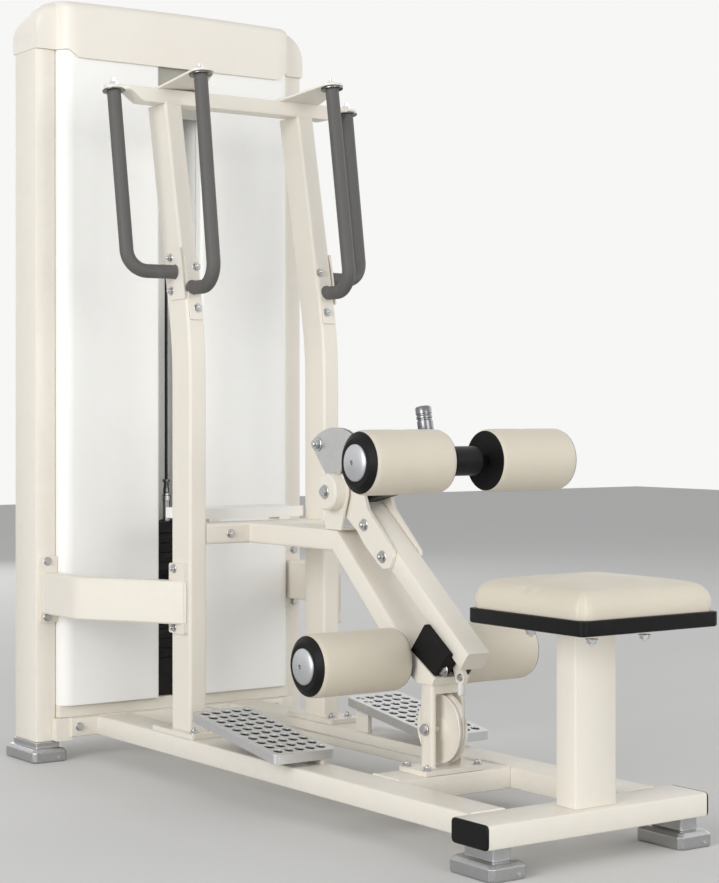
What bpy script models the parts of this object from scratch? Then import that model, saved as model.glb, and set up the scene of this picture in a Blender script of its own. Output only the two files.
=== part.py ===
"""Standing hip thrust machine with a guarded weight stack.

Metres, +Z up. X = 0 is the plane of symmetry, +Y points from the seat to the weight tower,
and Z = 0 is the floor. Left is -X, the left hand of a person who stands facing the tower.
"""
from math import acos, atan2, ceil, cos, pi, radians, sin, sqrt, tan

import bmesh
import bpy
from mathutils import Matrix, Vector

# Clearances
SEAT_GAP = 0.0003          # between faces that touch on the real machine
RUNNING_GAP = 0.0004       # between a bore and the pin that turns or slides in it

# Base frame: flat rectangular tube
TUBE_HEIGHT = 0.050
TUBE_CORNER = 0.006
BASE_TOP = 0.1095
BASE_BOTTOM = BASE_TOP - TUBE_HEIGHT
FRONT_EDGE = -0.853
FRONT_TUBE_DEPTH = 0.113
FRONT_HALF_WIDTH = 0.2964
END_CAP_FLANGE = 0.005
END_CAP_PLUG = 0.032
TUBE_WALL = 0.003
RAIL_INNER = 0.1526
RAIL_WIDTH = 0.100
REAR_TUBE_STEP = 0.037       # rear crosstube ahead of the columns
REAR_TUBE_DEPTH = 0.100
REAR_TUBE_GAP = 0.0275       # between its end and a column
POST_TUBE_DEPTH = 0.110

# Feet: cast aluminium
FOOT_HEIGHT = 0.034
FOOT_CHAMFER = 0.009
FOOT_BEVEL = 0.008
FRONT_FOOT_X = 0.250
FRONT_FOOT_WIDTH = 0.094
FRONT_FOOT_LENGTH = 0.138
FRONT_FOOT_OVERHANG = 0.013
FRONT_STEM_WIDTH = 0.047
FRONT_STEM_LENGTH = 0.092
REAR_FOOT_WIDTH = 0.0985
REAR_FOOT_LENGTH = 0.172
REAR_FOOT_TOP = 0.049
REAR_FOOT_OVERHANG = 0.033
REAR_FOOT_OFFSET = 0.00225

# Weight tower
COLUMN_OUTER = 0.4095
COLUMN_WIDTH = 0.057
COLUMN_FRONT = 0.859
COLUMN_DEPTH = 0.126
CAP_CROWN = 1.974            # top of the machine
CAP_HEIGHT = 0.132           # from the columns' tops to the crown
COLUMN_TOP = CAP_CROWN - CAP_HEIGHT
TOWER_BEAM_HEIGHT = 0.0315
TOWER_BEAM_STEP = 0.019      # bottom beam ahead of the columns
TOWER_SLOT_HALF = 0.0155
TOP_BEAM_DROP = 0.025        # beam's top below the columns' tops
TOP_BEAM_HEIGHT = 0.052
TOP_BEAM_TOP = COLUMN_TOP - TOP_BEAM_DROP
TOP_BEAM_BOTTOM = TOP_BEAM_TOP - TOP_BEAM_HEIGHT
TOP_BEAM_INSET = 0.011       # behind the columns' front face
TOP_BEAM_DEPTH = 0.098
GUARD_STEP = 0.035           # guards ahead of the columns
GUARD_INNER = 0.072
GUARD_EDGE_INSET = 0.0345    # where a guard starts to curve back, from a column's inner face
GUARD_HEADROOM = 0.0005       # between a guard's top edge and the level of the columns' tops
GUARD_SHEET = 0.002
GUARD_RETURN = 0.028
GUARD_TUCK = 0.0095
COVER_STAND_OFF = 0.007      # cover's outer face behind the columns
COVER_THICKNESS = 0.0064
COVER_LIP = 0.016

# Places that follow from the columns
COLUMN_INNER = COLUMN_OUTER - COLUMN_WIDTH
COLUMN_BACK = COLUMN_FRONT + COLUMN_DEPTH
REAR_TUBE_FRONT = COLUMN_FRONT - REAR_TUBE_STEP
REAR_HALF_WIDTH = COLUMN_INNER - REAR_TUBE_GAP
TOWER_BEAM_FRONT = COLUMN_FRONT - TOWER_BEAM_STEP
TOP_BEAM_FRONT = COLUMN_FRONT + TOP_BEAM_INSET
GUARD_FRONT = COLUMN_FRONT - GUARD_STEP
GUARD_OUTER = COLUMN_INNER - GUARD_EDGE_INSET
COVER_BACK = COLUMN_BACK + COVER_STAND_OFF

# Moulded cap on the tower
CAP_BACK_EDGE = CAP_CROWN - 0.040
CAP_SHOULDER = 0.068
CAP_SHOULDER_DROP = 0.060
CAP_BACK_FALL = 0.70         # fall of the back edge for each metre that the crown falls
CAP_APRON_BOTTOM = COLUMN_TOP - 0.0195
CAP_APRON_INSET = 0.1045     # apron's edge, in from the columns' outer face
CAP_APRON_RAMP = 0.030       # width over which the apron's lip rises to the column
CAP_APRON_WALL = 0.006
CAP_OVERHANG = 0.001
CAP_APRON_PROUD = 0.008      # apron ahead of the guards
CAP_APRON_HALF = COLUMN_OUTER - CAP_APRON_INSET
CAP_APRON_FRONT = GUARD_FRONT - CAP_APRON_PROUD

# Weight stack
STACK_HALF_WIDTH = 0.140
STACK_STEP = 0.002           # plates ahead of the columns
STACK_FRONT = COLUMN_FRONT - STACK_STEP
STACK_DEPTH = 0.090
STACK_TOP = 0.6085
TOP_PLATE = 0.030
PLATE = 0.0257
LOWER_PLATES = 9
RAISED_PLATES = 5
PLATE_GROOVE = 0.0035
PLATE_GROOVE_DEPTH = 0.004
RISER_SLOT_HALF = 0.027
RISER_SLOT_STEP = 0.027      # slot behind the plates' front face
STEM_RADIUS = 0.0090
STEM_TOP = 0.700
GUIDE_ROD_X = 0.100
GUIDE_ROD_RADIUS = 0.010
PIN_HOLE_RADIUS = 0.0055
PIN_HOLE_DEPTH = 0.050
PIN_KNOB_RADIUS = 0.014
PIN_KNOB_LENGTH = 0.034

# Cable and pulleys
CABLE_RADIUS = 0.0026
CABLE_CLEARANCE = 0.0007
PULLEY_RADIUS = 0.041
PULLEY_GROOVE = 0.005
PULLEY_THICKNESS = 0.016
PULLEY_AXLE = 0.006
POST_PULLEY_RADIUS = 0.0775
POST_PULLEY_THICKNESS = 0.024
POST_PULLEY_Z = 0.2035
TOP_PULLEY_DROP = 0.052      # its axle below the top beam
TOP_PULLEY_Z = TOP_BEAM_BOTTOM - TOP_PULLEY_DROP
CHEEK = 0.005

# Cable post under the lever
POST_FRONT = -0.349
POST_BACK = -0.305
POST_HALF_WIDTH = 0.045
POST_TOP = 0.304
POST_WINDOW_HALF = 0.035
POST_WINDOW_TOP = 0.2825
POST_BASE_THICKNESS = 0.011
POST_BASE_HALF = 0.085
POST_BASE_MARGIN = 0.030
POST_TUBE_STEP = 0.031       # post crossbar ahead of the post
POST_TUBE_FRONT = POST_FRONT - POST_TUBE_STEP

# Uprights, with the crossbars between them
UPRIGHT_FRONT = 0.396
UPRIGHT_DEPTH = 0.090
UPRIGHT_INNER = 0.174
UPRIGHT_WIDTH = 0.048
UPRIGHT_KINK = 1.075
UPRIGHT_LEAN = radians(11.5)
UPRIGHT_BEND = 0.90          # radius of the gradual bend
UPRIGHT_BASE_THICKNESS = 0.012
UPRIGHT_BASE_MARGIN = 0.055
TOP_BAR_BOTTOM = 1.673
TOP_BAR_TOP = 1.710
TOP_BAR_DEPTH = 0.060
TOP_BAR_HALF = 0.375
TOP_BAR_SWEEP = 0.051        # width of the curve between the bar and its thin end
TOP_BAR_FLAT = 0.052         # length of the thin end, which carries the handle
TOP_BAR_END = 0.0112         # thickness of the thin end
UPRIGHT_TOP = TOP_BAR_BOTTOM - SEAT_GAP
TOP_BAR_FRONT = UPRIGHT_FRONT + (UPRIGHT_TOP - UPRIGHT_KINK) * tan(UPRIGHT_LEAN)
MID_BAR_TOP = 0.627
MID_BAR_HEIGHT = 0.050

# Handles: round bar with a bolting flange at the top
HANDLE_RADIUS = 0.0172
HANDLE_FLANGE_RADIUS = 0.0245
HANDLE_FLANGE = 0.006
OUTER_HANDLE_INSET = 0.025   # from the end of the top crossbar
OUTER_HANDLE_X = TOP_BAR_HALF - OUTER_HANDLE_INSET
OUTER_HANDLE_TOP = (OUTER_HANDLE_X, TOP_BAR_FRONT + TOP_BAR_DEPTH / 2,
                    TOP_BAR_TOP - TOP_BAR_END - SEAT_GAP)
OUTER_HANDLE_LOW = (OUTER_HANDLE_X - 0.002, 0.478, 1.249)
OUTER_HANDLE_END_Y = 0.462
INNER_HANDLE_TOP = (0.195, 0.390, 1.732)
INNER_HANDLE_LOW = (0.200, 0.313, 1.209)
HANDLE_BEND = 0.052
HANDLE_PLATE = 0.006
HANDLE_PLATE_FRONT = 0.362
HANDLE_PLATE_INNER = 0.118
HANDLE_PLATE_OUTER = 0.240

# Braces from the uprights to the columns: bent flat bar
BRACE_BOTTOM = 0.382
BRACE_TOP = 0.488
BRACE_THICKNESS = 0.040
BRACE_START_Y = 0.447
BRACE_BEND_INSET = 0.034     # centre of the bend, in from the columns' outer face
BRACE_BEND_LEAD = 0.1825     # and ahead of the columns
BRACE_BEND = (COLUMN_OUTER - BRACE_BEND_INSET, COLUMN_FRONT - BRACE_BEND_LEAD)
BRACE_BEND_RADIUS = 0.060
BRACE_PLATE_BOTTOM = 0.358
BRACE_PLATE_TOP = 0.530
BRACE_UPRIGHT_PLATE = 0.012
BRACE_COLUMN_PLATE = 0.008
BRACE_COLUMN_PLATE_INSET = 0.0095
BRACE_PLATE_FRONT = 0.405
BRACE_PLATE_BACK = 0.478

# Spine that carries the lever, with the axle of the lower rollers
SPINE_HALF_WIDTH = 0.050
SPINE_HEIGHT = 0.050
SPINE_BEND_Y = 0.0246
SPINE_ELBOW = (-0.241, 0.363)
SPINE_FOOT = (-0.352, 0.299)
LOWER_AXLE_Y = -0.238
LOWER_AXLE_Z = 0.352
ROLLER_AXLE_RADIUS = 0.0125

# Shelf over the mid crossbar
SHELF_LIFT = 0.007
SHELF_HEIGHT = 0.026
SHELF_STEP = 0.077           # shelf behind the uprights' front face
SHELF_DEPTH = 0.145
SHELF_SIDE_GAP = 0.006
SHELF_SHEET = 0.003
SHELF_BOTTOM = MID_BAR_TOP + SHELF_LIFT
SHELF_TOP = SHELF_BOTTOM + SHELF_HEIGHT
SHELF_FRONT = UPRIGHT_FRONT + SHELF_STEP
SHELF_BACK = SHELF_FRONT + SHELF_DEPTH
SHELF_HALF_WIDTH = UPRIGHT_INNER - SHELF_SIDE_GAP

# Foot plates: perforated, sloping down to the front
PLATE_INNER = 0.142
PLATE_OUTER = 0.305
PLATE_REAR = (0.251, 0.1945)
PLATE_NOSE = (-0.118, 0.1425)
PLATE_SHEET = 0.004
PLATE_SKIRT = 0.022
PLATE_ROWS = 10
PLATE_COLUMNS = 5
PLATE_HOLE_FILL = 0.66
PLATE_BORDER = 0.010
PLATE_LUG_INSET = 0.014      # lug on the rail, in from the rail's inner face
PLATE_LUG_WIDTH = 0.012
PLATE_LUG_LENGTH = 0.052

# Seat
SEAT_OVERHANG = 0.145        # seat ahead of the front crosstube
SEAT_LENGTH = 0.353
SEAT_FRONT = FRONT_EDGE - SEAT_OVERHANG
SEAT_BACK = SEAT_FRONT + SEAT_LENGTH
SEAT_HALF_WIDTH = 0.182
SEAT_RIM_BOTTOM = 0.476
SEAT_RIM_TOP = 0.506
RIM_CORNER = 0.015
CUSHION_CORNER = 0.028
CUSHION_EDGE_TOP = 0.546
CUSHION_CROWN = 0.572
CUSHION_WALL = ((0.001, 0.0), (0.002, 0.35), (0.0, 0.74), (0.003, 1.00), (0.011, 1.22),
                (0.024, 1.38))    # inset, and height as a share of the edge's height
SEAT_POST_HALF_WIDTH = 0.055
SEAT_POST_DEPTH = 0.063
SEAT_POST_STEP = 0.018       # post behind the crosstube's front face
SEAT_PLATE_THICKNESS = 0.008

# Pivot and its bracket
PIVOT_Y = 0.010
PIVOT_Z = 0.717
PIVOT_SHAFT_RADIUS = 0.0125
PIVOT_HEAD_RADIUS = 0.0150
BRACKET_CHEEK_INNER = 0.0475
BRACKET_CHEEK = 0.006
BOSS_RADIUS = 0.046
BOSS_OUTER = 0.085
BRACKET_BASE = 0.006
QUADRANT_RADIUS = 0.150
QUADRANT_FOOT_RADIUS = 0.0436
QUADRANT_START = radians(48)
QUADRANT_END = radians(116)
QUADRANT_PLATE = 0.005
QUADRANT_ARC = radians(15)

# Lever: inclined beam between two head plates
BEAM_HALF_WIDTH = 0.0315
BEAM_HEIGHT = 0.048
BEAM_ANGLE = radians(38.2)
BEAM_TOP_END = (-0.459, 0.381)
BEAM_LENGTH = 0.505
HEAD_PLATE = 0.010
HEAD_FLANK = ((-0.055, 0.630), (-0.087, 0.597), (-0.138, 0.559), (-0.160, 0.546), (-0.185, 0.549),
              (-0.200, 0.577), (-0.1986, 0.5884), (-0.1003, 0.678), (-0.0865, 0.7077), (-0.080, 0.757))
HEAD_HUB_RADIUS = 0.036
LUG_Y = -0.396
LUG_Z = 0.328
LUG_HALF = 0.006
REST_BLOCK_HALF = 0.048
REST_BLOCK_REAR = -0.272
REST_BLOCK_UPPER = (-0.324, 0.436)
REST_BLOCK_FRONT = (-0.410, 0.376)
REST_BLOCK_TOE = -0.360

# Telescopic roller arm
ARM_RISE = radians(12.5)
AXLE_Y = -0.397
AXLE_Z = 0.796
SLEEVE_SIDE = 0.050
SLEEVE_WALL = 0.0045
SLEEVE_START = 0.365
SLEEVE_END = 0.070
SLEEVE_PAD = (0.325, 0.362)
SLEEVE_PAD_HALF = 0.018
ARM_BAR_START = 0.280
HUB_RADIUS = 0.0325
HUB_HALF_WIDTH = 0.038
PIN_STATION = 0.1125
PIN_BARREL_RADIUS = 0.011
PIN_BARREL_HEIGHT = 0.052
PULL_PIN_RADIUS = 0.005
PULL_PIN_KNOB_RADIUS = 0.0175
PULL_PIN_KNOB = 0.070

# Rollers: foam on a hub that turns on its axle
ROLLER_INNER = 0.064
UPPER_ROLLER_OUTER = 0.2965
LOWER_ROLLER_OUTER = 0.322
ROLLER_RADIUS = 0.0695
ROLLER_DISC_RADIUS = 0.066
ROLLER_DISC = 0.006
ROLLER_END_RING = 0.0115
ROLLER_RING_FRONT = 0.052    # radius to which the end disc tapers
ROLLER_DOME_RADIUS = 0.040
ROLLER_DOME = 0.012
AXLE_SHORTFALL = 0.024       # from an axle's end to the tip of the dome

SIDES = (("left", -1.0), ("right", 1.0))

CREAM = "cream_paint"
FINISHES = {
    CREAM: ((0.78, 0.72, 0.62), 0.45, 0.0),
    "white_sheet": ((0.84, 0.83, 0.80), 0.40, 0.0),
    "cap_shell": ((0.82, 0.79, 0.73), 0.42, 0.0),
    "black_plastic": ((0.012, 0.012, 0.013), 0.45, 0.0),
    "black_paint": ((0.015, 0.015, 0.016), 0.40, 0.0),
    "grey_coat": ((0.16, 0.16, 0.155), 0.55, 0.0),
    "cast_aluminium": ((0.62, 0.62, 0.62), 0.35, 1.0),
    "bare_steel": ((0.55, 0.55, 0.56), 0.28, 1.0),
    "polished_steel": ((0.75, 0.75, 0.76), 0.12, 1.0),
    "black_rubber": ((0.010, 0.010, 0.010), 0.75, 0.0),
    "upholstery": ((0.60, 0.53, 0.40), 0.50, 0.0),
    "cable_jacket": ((0.010, 0.010, 0.010), 0.45, 0.0),
}


def finish(name):
    """The named Principled material, made on first use."""
    existing = bpy.data.materials.get(name)
    if existing:
        return existing
    color, roughness, metallic = FINISHES[name]
    material = bpy.data.materials.new(name)
    material.use_nodes = True
    shader = material.node_tree.nodes["Principled BSDF"]
    shader.inputs["Base Color"].default_value = (*color, 1.0)
    shader.inputs["Roughness"].default_value = roughness
    shader.inputs["Metallic"].default_value = metallic
    return material


def place(name, mesh, material, pivot=(0.0, 0.0, 0.0), parent=None, smooth=None):
    """Make the object from a bmesh given in world coordinates, with its origin at pivot."""
    bmesh.ops.translate(mesh, verts=mesh.verts, vec=-Vector(pivot))
    bmesh.ops.recalc_face_normals(mesh, faces=mesh.faces)
    data = bpy.data.meshes.new(name)
    mesh.to_mesh(data)
    mesh.free()
    if smooth is not None:
        data.shade_smooth()
        data.set_sharp_from_angle(angle=smooth)
    data.materials.append(finish(material))
    obj = bpy.data.objects.new(name, data)
    bpy.context.scene.collection.objects.link(obj)
    obj.location = Vector(pivot) - (parent.location if parent else Vector())
    obj.parent = parent
    return obj


def joint_empty(name, location):
    """An empty that stands on the axis of a moving assembly."""
    empty = bpy.data.objects.new(name, None)
    empty.location = location
    empty.empty_display_size = 0.05
    bpy.context.scene.collection.objects.link(empty)
    return empty


def combine(target, mesh, operation):
    """Join a bmesh to an object, or cut it away, with an exact Boolean."""
    pivot = target.location + (target.parent.location if target.parent else Vector())
    tool = place(f"{target.name}.{operation.lower()}{len(target.modifiers)}", mesh,
                 target.data.materials[0].name, pivot, target.parent)
    tool.hide_render = True
    tool.display_type = "WIRE"
    modifier = target.modifiers.new(operation.title(), "BOOLEAN")
    modifier.operation = operation
    modifier.solver = "EXACT"
    modifier.object = tool
    return tool


def rounded(corners, radius, steps=2):
    """A closed 2-D outline whose corners are arcs; radius is one value or one per corner."""
    radii = radius if isinstance(radius, (list, tuple)) else [radius] * len(corners)
    outline = []
    count = len(corners)
    for index, corner in enumerate(corners):
        here = Vector(corner)
        before = Vector(corners[index - 1]) - here
        after = Vector(corners[(index + 1) % count]) - here
        if radii[index] <= 0:
            outline.append(tuple(here))
            continue
        half_angle = before.angle(after) / 2
        reach = radii[index] / tan(half_angle)
        centre = here + (before.normalized() + after.normalized()).normalized() * (
            radii[index] / sin(half_angle))
        first = here + before.normalized() * reach - centre
        last = here + after.normalized() * reach - centre
        turn = first.angle_signed(last)
        for step in range(steps + 1):
            angle = -turn * step / steps
            outline.append((centre.x + first.x * cos(angle) - first.y * sin(angle),
                            centre.y + first.x * sin(angle) + first.y * cos(angle)))
    return outline


def rectangle(low, high, radius=0.0, steps=2):
    """A rectangle from its low corner to its high corner, with rounded corners."""
    corners = [low, (high[0], low[1]), high, (low[0], high[1])]
    return rounded(corners, radius, steps)


def on_axis(axis, across, along):
    """The 3-D point of a 2-D outline point at a distance along one axis."""
    if axis == "X":
        return Vector((along, across[0], across[1]))
    if axis == "Y":
        return Vector((across[0], along, across[1]))
    return Vector((across[0], across[1], along))


def loft(rings, closed=False):
    """A closed solid through rings of equally many points, flat at both ends."""
    mesh = bmesh.new()
    verts = [[mesh.verts.new(point) for point in ring] for ring in rings]
    pairs = list(zip(verts, verts[1:]))
    if closed:
        pairs.append((verts[-1], verts[0]))
    for lower, upper in pairs:
        for index in range(len(lower)):
            after = (index + 1) % len(lower)
            mesh.faces.new((lower[index], lower[after], upper[after], upper[index]))
    if not closed:
        mesh.faces.new(list(reversed(verts[0])))
        mesh.faces.new(verts[-1])
    return mesh


def prism(axis, outline, start, end):
    """An outline extruded along an axis."""
    return loft([[on_axis(axis, point, along) for point in outline] for along in (start, end)])


def block(low, high, radius=0.0, axis="X", steps=2):
    """A box from low to high whose edges along one axis are rounded."""
    keep = [index for index in range(3) if "XYZ"[index] != axis]
    run = "XYZ".index(axis)
    outline = rectangle([low[i] for i in keep], [high[i] for i in keep], radius, steps)
    return prism(axis, outline, low[run], high[run])


def turned(profile, axis="X", centre=(0.0, 0.0, 0.0), steps=24):
    """A profile of (radius, place along the axis) turned about an axis through centre.

    A radius of 0 at an end closes it with a pole."""
    mesh = bmesh.new()
    rings = []
    for radius, along in profile:
        if radius == 0:
            rings.append([mesh.verts.new(on_axis(axis, (0.0, 0.0), along))])
            continue
        rings.append([mesh.verts.new(on_axis(axis, (radius * cos(2 * pi * step / steps),
                                                    radius * sin(2 * pi * step / steps)), along))
                      for step in range(steps)])
    for first, second in zip(rings, rings[1:]):
        for index in range(steps):
            after = (index + 1) % steps
            if len(first) == 1:
                mesh.faces.new((first[0], second[index], second[after]))
            elif len(second) == 1:
                mesh.faces.new((first[index], first[after], second[0]))
            else:
                mesh.faces.new((first[index], first[after], second[after], second[index]))
    if len(rings[0]) > 1:
        closing = rings[-1], rings[0]
        for index in range(steps):
            after = (index + 1) % steps
            mesh.faces.new((closing[0][index], closing[0][after],
                            closing[1][after], closing[1][index]))
    bmesh.ops.translate(mesh, verts=mesh.verts, vec=centre)
    return mesh


def rod(axis, radius, start, end, centre=(0.0, 0.0, 0.0), steps=16):
    """A plain round bar."""
    profile = [(0.0, start), (radius, start), (radius, end), (0.0, end)]
    return turned(profile, axis, centre, steps)


def filleted(points, radius, steps=6):
    """A 3-D path whose inner corners are arcs of one radius."""
    path = [Vector(points[0])]
    for before, corner, after in zip(points, points[1:], points[2:]):
        corner = Vector(corner)
        back = (Vector(before) - corner).normalized()
        ahead = (Vector(after) - corner).normalized()
        half_angle = back.angle(ahead) / 2
        centre = corner + (back + ahead).normalized() * (radius / sin(half_angle))
        first = corner + back * (radius / tan(half_angle)) - centre
        axis = back.cross(ahead).normalized()
        turn = -(pi - 2 * half_angle)
        for step in range(steps + 1):
            path.append(centre + Matrix.Rotation(turn * step / steps, 3, axis) @ first)
    path.append(Vector(points[-1]))
    return path


def bent_bar(path, section, side_axis):
    """A section carried along a planar path and mitred at each bend.

    A section point is (in the plane of the path, along side_axis); side_axis is the plane's normal."""
    path = [Vector(point) for point in path]
    normal = Vector(side_axis)
    rings = []
    for index, point in enumerate(path):
        back = (point - path[max(index - 1, 0)]).normalized()
        ahead = (path[min(index + 1, len(path) - 1)] - point).normalized()
        tangent = (back + ahead).normalized()
        widen = 1.0
        if 0 < index < len(path) - 1:
            widen = 1.0 / cos(back.angle(ahead) / 2)
        across = normal.cross(tangent) * widen
        rings.append([point + across * u + normal * v for u, v in section])
    return loft(rings)


def round_bar(path, radii, sides=12, normals=None):
    """A round bar along a path, with a radius for each point of the path.

    normals turns the rings of some points to a given direction, by their place in the path."""
    path = [Vector(point) for point in path]
    rings = []
    reference = Vector((1.0, 0.0, 0.0))
    if abs((path[1] - path[0]).normalized().x) > 0.9:
        reference = Vector((0.0, 0.0, 1.0))
    for index, point in enumerate(path):
        tangent = (path[min(index + 1, len(path) - 1)] - path[max(index - 1, 0)]).normalized()
        tangent = (normals or {}).get(index, tangent)
        reference = (reference - tangent * reference.dot(tangent)).normalized()
        other = tangent.cross(reference)
        rings.append([point + (reference * cos(2 * pi * step / sides)
                               + other * sin(2 * pi * step / sides)) * radii[index]
                      for step in range(sides)])
    return loft(rings)


def mirror_x(outline, sign):
    """An (x, y) or (x, z) outline on the left or the right side."""
    return [(x * sign, other) for x, other in outline]


def make_base_frame():
    """Front crosstube with its end caps, two rails, rear crosstube and the crossbar of the post."""
    tube_front = (FRONT_EDGE, BASE_BOTTOM)
    tube_back = (FRONT_EDGE + FRONT_TUBE_DEPTH, BASE_TOP)
    tube_end = FRONT_HALF_WIDTH - END_CAP_FLANGE - SEAT_GAP
    section = rectangle(tube_front, tube_back, TUBE_CORNER)
    front = place("front_crosstube", prism("X", section, -tube_end, tube_end), CREAM)
    socket_low = (FRONT_EDGE + TUBE_WALL, BASE_BOTTOM + TUBE_WALL)
    socket_high = (tube_back[0] - TUBE_WALL, BASE_TOP - TUBE_WALL)
    for side, sign in SIDES:
        mouth = sign * (tube_end + 0.01)
        floor = sign * (tube_end - END_CAP_PLUG - 0.004)
        socket = rectangle(socket_low, socket_high, TUBE_CORNER - TUBE_WALL)
        combine(front, prism("X", socket, floor, mouth), "DIFFERENCE")
        make_end_cap(side, sign, tube_end, socket_low, socket_high)
    rail_front = tube_back[0] + SEAT_GAP
    rail_back = REAR_TUBE_FRONT - SEAT_GAP
    for side, sign in SIDES:
        low, high = sorted((sign * RAIL_INNER, sign * (RAIL_INNER + RAIL_WIDTH)))
        solid = block((low, rail_front, BASE_BOTTOM), (high, rail_back, BASE_TOP), TUBE_CORNER, "Y")
        rail = place(f"rail_{side}", solid, CREAM)
        for lug in foot_plate_lugs(sign):
            combine(rail, lug, "UNION")
    half = RAIL_INNER - SEAT_GAP
    post_bar = block((-half, POST_TUBE_FRONT, BASE_BOTTOM),
                     (half, POST_TUBE_FRONT + POST_TUBE_DEPTH, BASE_TOP), TUBE_CORNER, "X")
    place("post_crossbar", post_bar, CREAM)
    make_rear_crosstube()


def make_end_cap(side, sign, tube_end, socket_low, socket_high):
    """Plastic cap: a flange over the tube's end and a plug inside it."""
    face_low = (FRONT_EDGE, BASE_BOTTOM)
    face_high = (FRONT_EDGE + FRONT_TUBE_DEPTH, BASE_TOP)
    edge = 0.0015
    stations = [(tube_end - END_CAP_PLUG, socket_low, socket_high, RUNNING_GAP + edge),
                (tube_end - END_CAP_PLUG + 2 * edge, socket_low, socket_high, RUNNING_GAP),
                (tube_end + SEAT_GAP, socket_low, socket_high, RUNNING_GAP),
                (tube_end + SEAT_GAP, face_low, face_high, 0.0),
                (FRONT_HALF_WIDTH - edge, face_low, face_high, 0.0),
                (FRONT_HALF_WIDTH, face_low, face_high, edge)]
    rings = []
    for along, low, high, inset in stations:
        outline = rectangle((low[0] + inset, low[1] + inset), (high[0] - inset, high[1] - inset),
                            0.008 if low is face_low else 0.0035)
        rings.append([Vector((sign * along, y, z)) for y, z in outline])
    place(f"crosstube_cap_{side}", loft(rings), "black_plastic")


def make_rear_crosstube():
    """Rear crosstube with the angle plates that bolt it to the columns."""
    back = REAR_TUBE_FRONT + REAR_TUBE_DEPTH
    rear = place("rear_crosstube",
                 block((-REAR_HALF_WIDTH, REAR_TUBE_FRONT, BASE_BOTTOM),
                       (REAR_HALF_WIDTH, back, BASE_TOP), TUBE_CORNER, "X"), CREAM)
    lip_outer = COLUMN_INNER + 0.012
    lip_back = COLUMN_FRONT - SEAT_GAP
    end = COLUMN_INNER - SEAT_GAP
    start = REAR_HALF_WIDTH - 0.006
    angle = [(start, REAR_TUBE_FRONT + 0.010), (lip_outer, REAR_TUBE_FRONT + 0.010),
             (lip_outer, lip_back), (end, lip_back), (end, back - 0.004), (start, back - 0.004)]
    for _, sign in SIDES:
        plate = prism("Z", mirror_x(angle, sign), REAR_FOOT_TOP + 0.002, BASE_TOP - 0.0005)
        combine(rear, plate, "UNION")


def chamfered_ring(centre, width, length, z, chamfer):
    """Eight points of a rectangle with cut corners."""
    outline = rectangle((centre[0] - width / 2, centre[1] - length / 2),
                        (centre[0] + width / 2, centre[1] + length / 2), chamfer, 1)
    return [Vector((x, y, z)) for x, y in outline]


def make_foot(name, centre, size, stem, top):
    """Cast foot: chamfered pad with a stem or a seat on top."""
    edge = FOOT_CHAMFER
    bevel = FOOT_BEVEL
    rings = [chamfered_ring(centre, size[0] - 0.004, size[1] - 0.004, 0.0, edge),
             chamfered_ring(centre, size[0], size[1], 0.004, edge),
             chamfered_ring(centre, size[0], size[1], FOOT_HEIGHT - bevel, edge),
             chamfered_ring(centre, size[0] - bevel * 2, size[1] - bevel * 2, FOOT_HEIGHT, edge),
             chamfered_ring(centre, stem[0], stem[1], FOOT_HEIGHT + 0.001, 0.003),
             chamfered_ring(centre, stem[0], stem[1], top, 0.003)]
    place(name, loft(rings), "cast_aluminium")


def make_feet():
    """Two feet under the front crosstube, and two under the columns."""
    front_y = FRONT_EDGE - FRONT_FOOT_OVERHANG + FRONT_FOOT_LENGTH / 2
    rear_y = COLUMN_FRONT - REAR_FOOT_OVERHANG + REAR_FOOT_LENGTH / 2
    rear_x = COLUMN_OUTER - COLUMN_WIDTH / 2 + REAR_FOOT_OFFSET
    for side, sign in SIDES:
        make_foot(f"foot_front_{side}", (sign * FRONT_FOOT_X, front_y),
                  (FRONT_FOOT_WIDTH, FRONT_FOOT_LENGTH), (FRONT_STEM_WIDTH, FRONT_STEM_LENGTH),
                  BASE_BOTTOM - SEAT_GAP)
        make_foot(f"foot_rear_{side}", (sign * rear_x, rear_y),
                  (REAR_FOOT_WIDTH, REAR_FOOT_LENGTH),
                  (COLUMN_WIDTH + 0.010, COLUMN_DEPTH + 0.008), REAR_FOOT_TOP)


def make_tower():
    """Columns, bottom and top beams, guards and back cover."""
    for side, sign in SIDES:
        low, high = sorted((sign * COLUMN_INNER, sign * COLUMN_OUTER))
        column = block((low, COLUMN_FRONT, REAR_FOOT_TOP + SEAT_GAP),
                       (high, COLUMN_BACK, COLUMN_TOP), TUBE_CORNER, "Z")
        place(f"column_{side}", column, CREAM)
    make_bottom_beam(COLUMN_INNER - SEAT_GAP)
    make_top_beam(COLUMN_INNER - SEAT_GAP)
    make_guards(COLUMN_INNER - SEAT_GAP)
    make_back_cover(COLUMN_INNER - SEAT_GAP)


def pulley_y():
    """Where the two tower pulleys stand, so that their front side is over the stem."""
    return STACK_FRONT + STACK_DEPTH / 2 + cable_lay(PULLEY_RADIUS)


def cable_lay(radius):
    """Radius of the middle of the cable on a pulley."""
    return radius - PULLEY_GROOVE + CABLE_RADIUS + CABLE_CLEARANCE


def cable_floor_z():
    """Height of the cable where it runs along the base."""
    return POST_PULLEY_Z - cable_lay(POST_PULLEY_RADIUS)


def base_pulley_z():
    """Height of the base pulley, which takes the cable that runs along the base."""
    return cable_floor_z() + cable_lay(PULLEY_RADIUS)


def bottom_beam_bottom():
    return BASE_TOP + SEAT_GAP


def bottom_beam_top():
    return bottom_beam_bottom() + TOWER_BEAM_HEIGHT


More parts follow.
